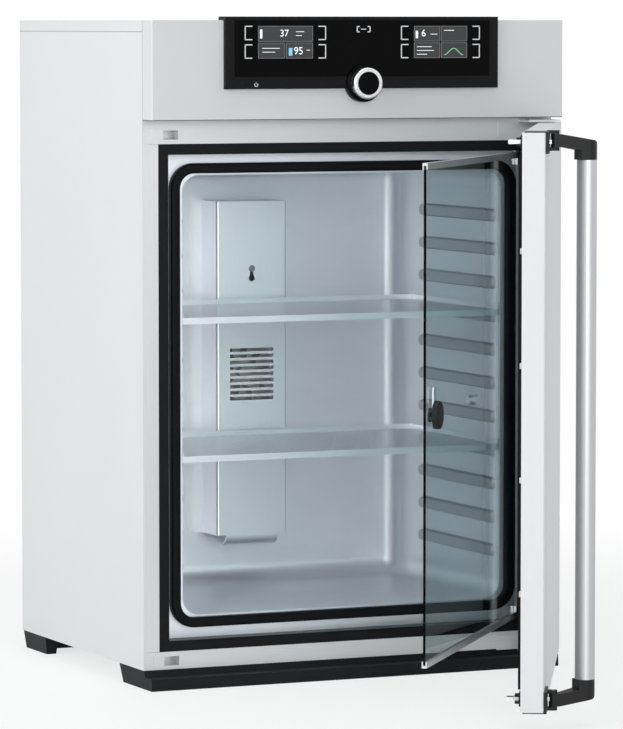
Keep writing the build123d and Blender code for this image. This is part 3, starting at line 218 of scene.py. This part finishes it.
def cloud_surface(group, source, target, noise, share):
    """Let a noise darken the group's colour by up to a share, and spread its roughness."""
    shade = add_node(
        group,
        "ShaderNodeMapRange",
        {"From Min": noise_low, "From Max": noise_high, "To Max": 1.0},
    )
    rough = calculate(group, "MULTIPLY_ADD", noise, source["Spread"], source["Roughness"])
    wire(
        group,
        (noise, shade.inputs["Value"]),
        (calculate(group, "SUBTRACT", 1.0, source[share]), shade.inputs["To Min"]),
        (scale_color(group, source["Color"], shade.outputs["Result"]), target["Color"]),
        (rough, target["Roughness"]),
    )


finish_outputs = [("Color", "c"), ("Roughness", "f"), ("Height", "f")]
coat_texture, coat_source, coat_target = start_group(
    "coat_texture",
    [
        ("Vector", "v"),
        ("Color", "c"),
        ("Clouding", "f"),
        ("Roughness", "f"),
        ("Spread", "f"),
        ("Peel", "f"),
    ],
    finish_outputs,
)
clouds = add_node(coat_texture, "ShaderNodeTexNoise", {"Scale": 3.5, "Detail": 5.0})
peel = add_node(coat_texture, "ShaderNodeTexNoise", {"Detail": 2.0})
cloud_surface(coat_texture, coat_source, coat_target, clouds.outputs["Fac"], "Clouding")
wire(
    coat_texture,
    (coat_source["Vector"], clouds.inputs["Vector"]),
    (coat_source["Vector"], peel.inputs["Vector"]),
    (coat_source["Peel"], peel.inputs["Scale"]),
    (peel.outputs["Fac"], coat_target["Height"]),
)


def scaled_place(tree, scale):
    """Object coordinates, which are the model's own place in metres, stretched by a vector."""
    place = add_node(tree, "ShaderNodeTexCoord")
    mapping = add_node(tree, "ShaderNodeMapping", {"Scale": scale})
    wire(tree, (place.outputs["Object"], mapping.inputs["Vector"]))
    return mapping.outputs["Vector"]


def finish_from(tree, shader, group, stretch, values, bump=None):
    """Put a surface group in a material and feed its colour, roughness and bump to the shader."""
    surface = add_node(tree, "ShaderNodeGroup", node_tree=group)
    set_inputs(surface, values)
    wire(
        tree,
        (scaled_place(tree, stretch), surface.inputs["Vector"]),
        (surface.outputs["Color"], shader.inputs["Base Color"]),
        (surface.outputs["Roughness"], shader.inputs["Roughness"]),
    )
    if bump:
        strength, depth = bump
        relief = add_node(tree, "ShaderNodeBump", {"Strength": strength, "Distance": depth})
        wire(
            tree,
            (surface.outputs["Height"], relief.inputs["Height"]),
            (relief.outputs["Normal"], shader.inputs["Normal"]),
        )


def coated(
    name,
    color,
    roughness,
    clouding=0.05,
    spread=0.08,
    peel_scale=900,
    bump=(0.1, 0.0002),
    specular=0.4,
):
    """Paint, a moulding or rubber, with its orange peel or matt grain."""
    material, tree, shader = new_material(name)
    set_inputs(shader, {"Specular IOR Level": specular})
    values = {
        "Color": (*color, 1),
        "Clouding": clouding,
        "Roughness": roughness,
        "Spread": spread,
        "Peel": peel_scale,
    }
    finish_from(tree, shader, coat_texture, (1, 1, 1), values, bump)
    return material


def band_mask(tree, value, low, high):
    """1 where a value lies between two limits."""
    above = calculate(tree, "GREATER_THAN", value, low)
    below = calculate(tree, "LESS_THAN", value, high)
    return calculate(tree, "MULTIPLY", above, below)


def darken(material, mask, share):
    """Take a share off a material's base colour where a mask is 1."""
    tree = material.node_tree
    base = tree.nodes["Principled BSDF"].inputs["Base Color"]
    keep = calculate(tree, "MULTIPLY_ADD", mask, -share, 1.0)
    wire(tree, (scale_color(tree, base.links[0].from_socket, keep), base))


def place_axes(tree):
    """The three object coordinates as values."""
    place = add_node(tree, "ShaderNodeTexCoord")
    axes = add_node(tree, "ShaderNodeSeparateXYZ")
    wire(tree, (place.outputs["Object"], axes.inputs[0]))
    return axes.outputs


gap_shadow_width = 0.0012


def paint_gap_shadow(material, axis, middle, half_width, darkness):
    """A thin painted shadow line at one coordinate, standing in for the shade in the gap between two
    foldings.
    """
    tree = material.node_tree
    value = place_axes(tree)[axis]
    darken(material, band_mask(tree, value, middle - half_width, middle + half_width), darkness)


def dress(material, *names):
    """Give CAD nodes their material."""
    for name in names:
        mesh = nodes[name].data
        mesh.materials.clear()
        mesh.materials.append(material)


grey_coat = coated("grey_powder_coat", (0.70, 0.71, 0.71), 0.42, clouding=0.03)
# A painted shadow line along the seam at the top of the side panels.
paint_gap_shadow(grey_coat, "Z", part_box("left_side_panel")[1].z, gap_shadow_width / 2, darkness=0.55)
dress(grey_coat, "left_side_panel", "right_side_panel", "top_cover", "rear_panel")
# The fascia's coat is a darker copy of the grey coat: painted shade for its front face.
painted_shade_fascia_coat = coated("fascia_powder_coat_painted_shade", (0.66, 0.67, 0.67), 0.42, clouding=0.03)
fascia_low, fascia_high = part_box("fascia")
# Painted shadow lines under the fascia's lower edge and in the gap at its rear edge by the side
# panels.
paint_gap_shadow(painted_shade_fascia_coat, "Z", fascia_low.z, gap_shadow_width, darkness=0.85)
paint_gap_shadow(painted_shade_fascia_coat, "Y", fascia_high.y, gap_shadow_width, darkness=0.85)
dress(painted_shade_fascia_coat, "fascia")

# Bottom pan and compartment floor: galvanised sheet, folded and left bare, hidden except through
# gaps. The node group holds the long fine lines that rolling or brushing leaves in sheet metal.
drawn_grain, grain_source, grain_target = start_group(
    "drawn_grain",
    [("Vector", "v"), ("Color", "c"), ("Streaks", "f"), ("Roughness", "f"), ("Spread", "f")],
    finish_outputs,
)
fine_lines = add_node(
    drawn_grain, "ShaderNodeTexNoise", {"Scale": 1.0, "Detail": 6.0, "Roughness": 0.7}
)
cloud_surface(drawn_grain, grain_source, grain_target, fine_lines.outputs["Fac"], "Streaks")
wire(
    drawn_grain,
    (grain_source["Vector"], fine_lines.inputs["Vector"]),
    (fine_lines.outputs["Fac"], grain_target["Height"]),
)


def metal(
    name,
    color,
    roughness,
    stretch,
    streaks=0.12,
    spread=0.12,
    bump=(0.08, 0.0001),
    metallic=1.0,
):
    """Bare metal whose grain runs along the axis with the small stretch."""
    material, tree, shader = new_material(name)
    set_inputs(shader, {"Metallic": metallic})
    values = {
        "Color": (*color, 1),
        "Streaks": streaks,
        "Roughness": roughness,
        "Spread": spread,
    }
    finish_from(tree, shader, drawn_grain, stretch, values, bump)
    return material


zinc_sheet = metal(
    "zinc_sheet", (0.50, 0.51, 0.52), 0.42, stretch=(30, 30, 30), streaks=0.3, spread=0.15
)
dress(zinc_sheet, "bottom_pan", "compartment_floor")

# Front frame: satin stainless sheet round the opening, brushed along each length, with the plates
# for the hinges and the hook keepers laid flat on it and the bright pins turned from bar.
frame_steel_color = (0.66, 0.67, 0.68)
frame_finish = {"roughness": 0.36, "streaks": 0.07, "spread": 0.1}
satin_steel = metal("satin_steel", frame_steel_color, stretch=(25, 900, 900), **frame_finish)
dress(satin_steel, "frame_rails", "latch_keepers", "hinge_brackets")
upright_steel = metal("upright_steel", frame_steel_color, stretch=(900, 900, 25), **frame_finish)
dress(upright_steel, "frame_stiles")
plate_steel = metal(
    "plate_steel", (0.74, 0.75, 0.76), 0.3, stretch=(40, 700, 700), streaks=0.08, spread=0.1
)
dress(plate_steel, "glass_hinge_pins", "handle_pins", "latch_hooks")

# Thermal break: four black extruded plastic lengths with a satin ridge, mitred at the corners.
# They keep the front frame apart from the warm chamber.
break_plastic = coated(
    "break_plastic",
    (0.008, 0.008, 0.009),
    0.34,
    clouding=0.2,
    spread=0.1,
    peel_scale=500,
    specular=0.12,
)
dress(break_plastic, "thermal_frame")

# Chamber liner: one deep-drawn stainless sheet with an electropolished, faintly clouded satin
# finish. The flanks of the pressed ribs that carry the shelves, on both side walls, get a band of
# painted shade in the colour.
rib_flank = (0.2712, 0.2792)
rib_field_y = (0.017, 0.296)
rib_field_z = (0.168, 0.755)
rib_flank_painted_shade = 0.42
liner_steel = metal(
    "liner_steel",
    (0.90, 0.94, 0.99),
    0.38,
    stretch=(6, 60, 14),
    streaks=0.05,
    bump=(0.03, 0.0001),
    metallic=0.7,
)
# Painted shade: a darker band in the liner's colour on the rib flanks.
liner_tree = liner_steel.node_tree
liner_axes = place_axes(liner_tree)
from_middle = calculate(liner_tree, "ABSOLUTE", liner_axes["X"])
rib_flank_shade_mask = band_mask(liner_tree, from_middle, *rib_flank)
for axis, limits in (("Y", rib_field_y), ("Z", rib_field_z)):
    inside_field = band_mask(liner_tree, liner_axes[axis], *limits)
    rib_flank_shade_mask = calculate(liner_tree, "MULTIPLY", rib_flank_shade_mask, inside_field)
darken(liner_steel, rib_flank_shade_mask, rib_flank_painted_shade)
dress(liner_steel, "chamber_liner")

# Fan cover, its screw and the small fittings behind it: folded stainless sheet and turned
# stainless, with a moulded sensor housing and impeller.
cover_steel = metal(
    "cover_steel", (0.92, 0.94, 0.98), 0.36, stretch=(500, 500, 12), streaks=0.03, spread=0.1
)
dress(cover_steel, "fan_cover", "temperature_probe", "gas_injector", "access_port_tube")
screw_steel = metal(
    "screw_steel", (0.30, 0.31, 0.32), 0.3, stretch=(400, 400, 400), streaks=0.2, spread=0.1
)
dress(screw_steel, "cover_screw")
sensor_plastic = coated("sensor_plastic", (0.72, 0.72, 0.70), 0.4, clouding=0.06)
dress(sensor_plastic, "co2_sensor", "fan_impeller")

# Chamber gasket, door seal and heater mats: soft black silicone, extruded or pressed flat, with a
# matt skin and a soft highlight.
black_silicone = coated(
    "black_silicone",
    (0.006, 0.006, 0.007),
    0.42,
    clouding=0.3,
    spread=0.15,
    peel_scale=350,
    specular=0.1,
)
dress(black_silicone, "chamber_gasket", "door_seal", "heater_mats")

# Insulation: pale foam and glass-wool board, cut to fill the walls and the door and seen only
# through slots.
board_foam = coated(
    "board_foam",
    (0.62, 0.58, 0.46),
    0.85,
    clouding=0.3,
    spread=0.1,
    peel_scale=120,
    bump=(0.5, 0.001),
)
dress(board_foam, "insulation", "door_core")

# Shelves: folded stainless trays with a fine field of punched round holes in their floors, which
# leave the turned-down edges whole.
hole_pitch = 0.010
hole_radius_share = 0.4
cell_centre = (0.5, 0.5, 0.0)
flat_only = (1.0, 1.0, 0.0)
level_floor = 0.5
shelf_steel = metal(
    "shelf_steel", (0.88, 0.91, 0.95), 0.3, stretch=(20, 500, 500), streaks=0.06, spread=0.1
)
shelf_tree = shelf_steel.node_tree
hole_cell = calculate_vector(
    shelf_tree, "FRACTION", scaled_place(shelf_tree, (1 / hole_pitch, 1 / hole_pitch, 1))
)
hole_offset = calculate_vector(shelf_tree, "SUBTRACT", hole_cell, cell_centre)
hole_flat = calculate_vector(shelf_tree, "MULTIPLY", hole_offset, flat_only)
hole_distance = calculate_vector(shelf_tree, "LENGTH", hole_flat)
in_hole = calculate(shelf_tree, "LESS_THAN", hole_distance, hole_radius_share)
shelf_geometry = add_node(shelf_tree, "ShaderNodeNewGeometry")
shelf_normal = add_node(shelf_tree, "ShaderNodeSeparateXYZ")
wire(shelf_tree, (shelf_geometry.outputs["True Normal"], shelf_normal.inputs[0]))
upright = calculate(shelf_tree, "ABSOLUTE", shelf_normal.outputs["Z"])
on_floor = calculate(shelf_tree, "GREATER_THAN", upright, level_floor)
hole_mask = calculate(shelf_tree, "MULTIPLY", in_hole, on_floor)
shelf_alpha = calculate(shelf_tree, "SUBTRACT", 1.0, hole_mask)
wire(shelf_tree, (shelf_alpha, shelf_tree.nodes["Principled BSDF"].inputs["Alpha"]))
dress(shelf_steel, "lower_shelf", "upper_shelf")

# Electronics behind the fascia: a green circuit board, a sheet-metal supply, a brass valve and the
# fan's cast motor, all out of sight in use.
board_resin = coated(
    "board_resin", (0.02, 0.12, 0.06), 0.35, clouding=0.3, spread=0.1, peel_scale=300
)
dress(board_resin, "control_board")
motor_casting = metal(
    "motor_casting", (0.42, 0.43, 0.44), 0.45, stretch=(80, 80, 80), streaks=0.2, spread=0.15
)
dress(motor_casting, "power_supply", "fan_motor")
valve_brass = metal("valve_brass", (0.62, 0.47, 0.22), 0.3, stretch=(60, 400, 400))
dress(valve_brass, "gas_valve", "gas_nozzle")

# Plinths and mains inlet: black moulded feet, bars and an inlet body, with a fine matt grain
# pressed in by the mould.
plinth_plastic = coated(
    "plinth_plastic",
    (0.011, 0.012, 0.013),
    0.48,
    clouding=0.2,
    spread=0.1,
    peel_scale=450,
    bump=(0.25, 0.0003),
    specular=0.12,
)
dress(plinth_plastic, "front_plinth", "rear_plinth", "mains_inlet")

# Control panel: a black moulded housing with a satin bezel round a glossy front glass, and the
# power key, the knob's boss and its push centre in the same blacks.
housing_plastic = coated(
    "housing_plastic",
    (0.005, 0.005, 0.0055),
    0.36,
    clouding=0.15,
    peel_scale=700,
    specular=0.12,
)
dress(housing_plastic, "panel_housing", "power_button")
panel_gloss = coated(
    "panel_gloss",
    (0.002, 0.002, 0.0022),
    0.07,
    clouding=0.1,
    spread=0.03,
    peel_scale=40,
    bump=(0.01, 0.0001),
    specular=0.05,
)
dress(panel_gloss, "panel_glass", "displays", "knob_boss", "confirm_button")

# Display tiles: two lit displays under the glass, each with dark tiles in thin grey frames. They
# are printed layers, so each is a block a quarter of a millimetre deep.
box_faces = ((0, 1, 2, 3), (7, 6, 5, 4), (0, 4, 5, 1), (1, 5, 6, 2), (2, 6, 7, 3), (3, 7, 4, 0))


def link_piece(name, form, material):
    """A new piece from a mesh under construction, with its material."""
    mesh = bpy.data.meshes.new(name)
    bmesh.ops.recalc_face_normals(form, faces=form.faces)
    form.to_mesh(mesh)
    form.free()
    mesh.materials.append(material)
    piece = bpy.data.objects.new(name, mesh)
    bpy.context.scene.collection.objects.link(piece)
    return piece


def flat_boxes(name, rectangles, face, depth, material, body="cabinet"):
    """Thin upright blocks given by x0, x1, z0, z1, standing off a face toward the front."""
    form = bmesh.new()
    for x0, x1, z0, z1 in rectangles:
        corners = [
            form.verts.new((x, y, z))
            for y in (face, face - depth)
            for x, z in ((x0, z0), (x1, z0), (x1, z1), (x0, z1))
        ]
        for ring in box_faces:
            form.faces.new([corners[i] for i in ring])
    piece = link_piece(name, form, material)
    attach(piece, body)


def lit_ink(name, color, glow):
    """Printed or lit marks: a matt ink with a faint even glow and a fine grain, which on marks that
    are only printed is a painted glow.
    """
    ink = coated(name, color, 0.35, clouding=0.15, spread=0.1, peel_scale=2000)
    set_inputs(
        ink.node_tree.nodes["Principled BSDF"],
        {"Emission Color": (*color, 1), "Emission Strength": glow},
    )
    return ink


display_low, display_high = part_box("displays")
print_depth = 0.00025
print_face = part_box("panel_glass")[0].y
tile_face = print_face - print_depth
display_width = 0.098
display_bottom = display_low.z
display_top = display_high.z
middle_z = (display_bottom + display_top) / 2
left_x = display_low.x + display_width / 2
right_x = display_high.x - display_width / 2
tile_gap = 0.002
tile_line = 0.0006
tiles = []
tile_frames = []
for centre in (left_x, right_x):
    x0, x1 = centre - display_width / 2 + tile_gap, centre + display_width / 2 - tile_gap
    z0, z1 = display_bottom + tile_gap, display_top - tile_gap
    left_half = (x0, centre - tile_gap / 2)
    right_half = (centre + tile_gap / 2, x1)
    lower_row = (z0, middle_z - tile_gap / 2)
    upper_row = (middle_z + tile_gap / 2, z1)
    tiles += [(*left_half, *lower_row), (*right_half, *lower_row)]
    if centre == left_x:
        tiles.append((x0, x1, *upper_row))
    else:
        tiles += [(*left_half, *upper_row), (*right_half, *upper_row)]
for x0, x1, z0, z1 in tiles:
    tile_frames += [
        (x0, x1, z0, z0 + tile_line),
        (x0, x1, z1 - tile_line, z1),
        (x0, x0 + tile_line, z0 + tile_line, z1 - tile_line),
        (x1 - tile_line, x1, z0 + tile_line, z1 - tile_line),
    ]
tile_ink = lit_ink("display_tile", (0.020, 0.022, 0.024), glow=0.6)
flat_boxes("display_tiles", tiles, print_face, print_depth, tile_ink)
frame_ink = lit_ink("tile_frames", (0.16, 0.16, 0.165), glow=0.6)
flat_boxes("tile_frames", tile_frames, tile_face, print_depth, frame_ink)

# Display contents: generic lines of text, small level bars, a blue humidity mark and a green
# trace. The displays light them, so they are thin glowing layers on the tiles.
text_line = 0.0009
text_rows = []
for x, z, length in (
    (left_x + 0.018, middle_z + 0.016, 0.014),
    (left_x + 0.018, middle_z + 0.010, 0.010),
    (left_x - 0.040, middle_z - 0.010, 0.030),
    (left_x - 0.040, middle_z - 0.016, 0.022),
    (left_x + 0.036, middle_z - 0.013, 0.006),
    (right_x - 0.018, middle_z + 0.012, 0.012),
    (right_x + 0.006, middle_z + 0.018, 0.018),
    (right_x - 0.042, middle_z - 0.008, 0.026),
    (right_x - 0.042, middle_z - 0.014, 0.030),
    (right_x - 0.042, middle_z - 0.020, 0.018),
):
    text_rows.append((x, x + length, z, z + text_line))
level_width = 0.004
for x, z, height in (
    (left_x - 0.044, middle_z + 0.006, 0.014),
    (left_x + 0.006, middle_z - 0.020, 0.010),
    (right_x - 0.044, middle_z + 0.006, 0.012),
):
    text_rows.append((x, x + level_width, z, z + height))
digit_ink = lit_ink("display_digits", (0.62, 0.66, 0.68), glow=0.9)
flat_boxes("display_marks", text_rows, tile_face, print_depth, digit_ink)

humidity_x = (left_x + 0.0055, left_x + 0.0115)
humidity_z = (middle_z - 0.021, middle_z - 0.009)
blue_ink = lit_ink("humidity_drop", (0.20, 0.45, 0.75), glow=0.6)
flat_boxes("humidity_mark", [(*humidity_x, *humidity_z)], tile_face, 2 * print_depth, blue_ink)

trace_steps = 28
trace_start = right_x + 0.006
trace_run = 0.034
trace_rise = 0.009
trace_base = middle_z - 0.021
trace_lean = 0.3


def trace_height(share):
    """Height of the green trace at a share of its run: one hump that leans to its end."""
    return trace_base + trace_rise * math.sin(math.pi * share) ** 2 * (1 + trace_lean * share)


trace_rows = []
for step in range(trace_steps):
    low, high = sorted(trace_height(part / trace_steps) for part in (step, step + 1))
    x = trace_start + trace_run * step / trace_steps
    trace_rows.append((x, x + trace_run / trace_steps, low, high + text_line))
green_ink = lit_ink("graph_line", (0.16, 0.45, 0.22), glow=0.6)
flat_boxes("display_graph", trace_rows, tile_face, print_depth, green_ink)

# Display numbers: temperature, humidity and gas share in plain lit figures. The displays light
# them too, so they stand off the tiles by the depth of a print.
def lit_number(name, words, x, z, height):
    """A plain number on a display, as flat lit characters."""
    curve = bpy.data.curves.new(name, "FONT")
    curve.body = words
    curve.size = height
    curve.extrude = print_depth / 2
    written = bpy.data.objects.new(name + "_source", curve)
    bpy.context.scene.collection.objects.link(written)
    bpy.context.view_layer.update()
    mesh = bpy.data.meshes.new_from_object(written)
    bpy.data.objects.remove(written)
    mesh.materials.clear()
    mesh.materials.append(digit_ink)
    for vertex in mesh.vertices:
        across, up, out = vertex.co
        vertex.co = (x + across, tile_face - print_depth / 2 - out, z + up)
    piece = bpy.data.objects.new(name, mesh)
    bpy.context.scene.collection.objects.link(piece)
    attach(piece, "cabinet")


for name, words, x, z, height in (
    ("temperature_number", "37", left_x - 0.010, middle_z + 0.009, 0.0155),
    ("humidity_number", "95", left_x + 0.014, middle_z - 0.019, 0.0165),
    ("gas_number", "6", right_x - 0.034, middle_z + 0.009, 0.0155),
):
    lit_number(name, words, x, z, height)

# Touch keys: pale bracket marks beside each display and round a short bar at the panel's top,
# screen-printed on the glass. Their ink carries a faint painted glow.
key_line = 0.0016


def bracket(inner, outer, low, high):
    """Three bars of a bracket that opens toward its inner end."""
    x0, x1 = sorted((inner, outer))
    back = (x1 - key_line, x1) if outer > inner else (x0, x0 + key_line)
    return [(x0, x1, low, low + key_line), (x0, x1, high - key_line, high), (*back, low, high)]


key_gap = 0.008
key_length = 0.013
key_height = 0.0225
key_row_offset = 0.0145
key_rows = []
for centre in (left_x, right_x):
    for side in (-1, 1):
        inner = centre + side * (display_width / 2 + key_gap)
        outer = inner + side * key_length
        for middle in (middle_z + key_row_offset, middle_z - key_row_offset):
            key_rows += bracket(inner, outer, middle - key_height / 2, middle + key_height / 2)
menu_width = 0.024
menu_height = 0.010
menu_end = 0.005
menu_top = display_top - 0.002
menu_bar_x = (-0.0045, 0.0045)
menu_bar_z = (display_top - 0.0076, display_top - 0.0064)
for side in (-1, 1):
    inner, outer = side * (menu_width / 2 - menu_end), side * menu_width / 2
    key_rows += bracket(inner, outer, menu_top - menu_height, menu_top)
key_rows.append((*menu_bar_x, *menu_bar_z))
key_ink_painted_glow = lit_ink("key_marks", (0.60, 0.61, 0.62), glow=0.3)
flat_boxes("key_marks", key_rows, print_face, print_depth, key_ink_painted_glow)

# Power sign: an open ring with a bar through its gap, printed on the power key and moving
# with it. It shares the keys' ink and its painted glow.
power_low, power_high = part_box("power_button")
power_x = (power_low.x + power_high.x) / 2
power_z = (power_low.z + power_high.z) / 2
sign_radius = 0.0028
sign_line = 0.0006
sign_bar = (0.0008, 0.0042)
sign_parts = 16
sign_gap_parts = 3
sign_rows = [
    (power_x - sign_line / 2, power_x + sign_line / 2, power_z + sign_bar[0], power_z + sign_bar[1])
]
for part in range(sign_gap_parts, sign_parts - sign_gap_parts + 1):
    turn = math.radians(90) + math.tau * part / sign_parts
    x = power_x + sign_radius * math.cos(turn)
    z = power_z + sign_radius * math.sin(turn)
    sign_rows.append((x - sign_line, x + sign_line, z - sign_line, z + sign_line))
flat_boxes("power_sign", sign_rows, power_low.y, print_depth, key_ink_painted_glow, "power_key")

# Knob ring and port stopper: turned and brushed, then plated bright, so that they catch the
# lamps more than the sheet round them.
ring_metal = metal("ring_metal", (0.82, 0.83, 0.84), 0.2, stretch=(260, 900, 260), streaks=0.2)
dress(ring_metal, "knob_ring", "port_plug")

# Outer door: a folded shell in grey powder coat with a brushed stainless panel on its inner
# side, and pale plugs pressed in the holes of its free edge.
door_coat = coated("door_coat", (0.69, 0.70, 0.71), 0.4, clouding=0.03)
dress(door_coat, "door_shell")
dress(upright_steel, "door_inner_panel")
plug_plastic = coated("plug_plastic", (0.66, 0.66, 0.65), 0.4)
dress(plug_plastic, "door_plugs")

# Corner caps, latch guides, bushes, handle arms and the glass door's knob: black glass-filled
# mouldings with a fine spark-eroded grain.
cap_plastic = coated(
    "cap_plastic",
    (0.009, 0.009, 0.010),
    0.4,
    clouding=0.2,
    spread=0.1,
    peel_scale=420,
    bump=(0.2, 0.0002),
    specular=0.25,
)
dress(cap_plastic, "corner_caps", "latch_guides", "door_bushes")
dress(cap_plastic, "upper_handle_arm", "lower_handle_arm", "latch_knob")

# Handle: one long extruded aluminium tube, brushed along its length and anodised, held by a
# moulded arm at each end.
tube_metal = metal(
    "tube_metal", (0.52, 0.53, 0.54), 0.42, stretch=(900, 900, 8), streaks=0.1, spread=0.1
)
dress(tube_metal, "handle_tube")

# Inner glass door: a blue-green tinted pane of safety glass in two folded stainless channels,
# with clamp bars by the hinge and a steel tongue behind its knob.
glass_tint, glass_tree, glass_shader = new_material("tinted_glass")
set_inputs(glass_shader, {"Transmission Weight": 1.0, "IOR": 1.18})
glass_finish = {
    "Color": (0.72, 0.82, 0.83, 1),
    "Clouding": 0.06,
    "Roughness": 0.0,
    "Spread": 0.02,
    "Peel": 5.0,
}
finish_from(glass_tree, glass_shader, coat_texture, (1, 1, 1), glass_finish)
dress(glass_tint, "glass_pane")
dress(plate_steel, "glass_channels", "glass_clamps", "latch_tongue")

# Rear fixings: pan-head screws round the rear panel, with a cross recess pressed in each, and
# the three flat pins inside the mains inlet.
rear_low, rear_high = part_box("rear_panel")
inlet_low, inlet_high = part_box("mains_inlet")
screw_radius = 0.0034
screw_rise = 0.0012
screw_edge = 0.010
screw_rows = 5
recess_half_share = 0.16
recess_reach_share = 0.6
recess_height_share = 0.55


def pan_heads(name, places, face):
    """Round screw heads on the rear, with a cross recess pressed in each."""
    form = bmesh.new()
    for x, z in places:
        head = bmesh.ops.create_uvsphere(form, u_segments=20, v_segments=10, radius=screw_radius)
        for vertex in head["verts"]:
            across, up, out = vertex.co
            height = max(out, 0.0) / screw_radius
            in_cross = min(abs(across), abs(up)) < screw_radius * recess_half_share
            if in_cross and math.hypot(across, up) < screw_radius * recess_reach_share:
                height *= recess_height_share
            vertex.co = (x + across, face + height * screw_rise, z + up)
    piece = link_piece(name, form, plate_steel)
    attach(piece, "cabinet")


screw_low_z, screw_high_z = rear_low.z + screw_edge, rear_high.z - screw_edge
rear_places = []
for row in range(screw_rows):
    z = screw_low_z + (screw_high_z - screw_low_z) * row / (screw_rows - 1)
    rear_places += [(rear_low.x + screw_edge, z), (rear_high.x - screw_edge, z)]
for share in (0.33, 0.67):
    x = rear_low.x + (rear_high.x - rear_low.x) * share
    rear_places += [(x, screw_low_z), (x, screw_high_z)]
pan_heads("rear_screws", rear_places, rear_high.y)

inlet_x = (inlet_low.x + inlet_high.x) / 2
inlet_z = (inlet_low.z + inlet_high.z) / 2
pin_half_thickness = 0.001
pin_half_height = 0.00225
pin_length = 0.014
pin_set_back = 0.003
pin_spread = 0.007
outer_pin_drop = 0.002
earth_pin_rise = 0.003
pins = []
for x, z in (
    (inlet_x - pin_spread, inlet_z - outer_pin_drop),
    (inlet_x, inlet_z + earth_pin_rise),
    (inlet_x + pin_spread, inlet_z - outer_pin_drop),
):
    pin_x = (x - pin_half_thickness, x + pin_half_thickness)
    pins.append((*pin_x, z - pin_half_height, z + pin_half_height))
flat_boxes("inlet_pins", pins, inlet_high.y - pin_set_back, pin_length, plate_steel)
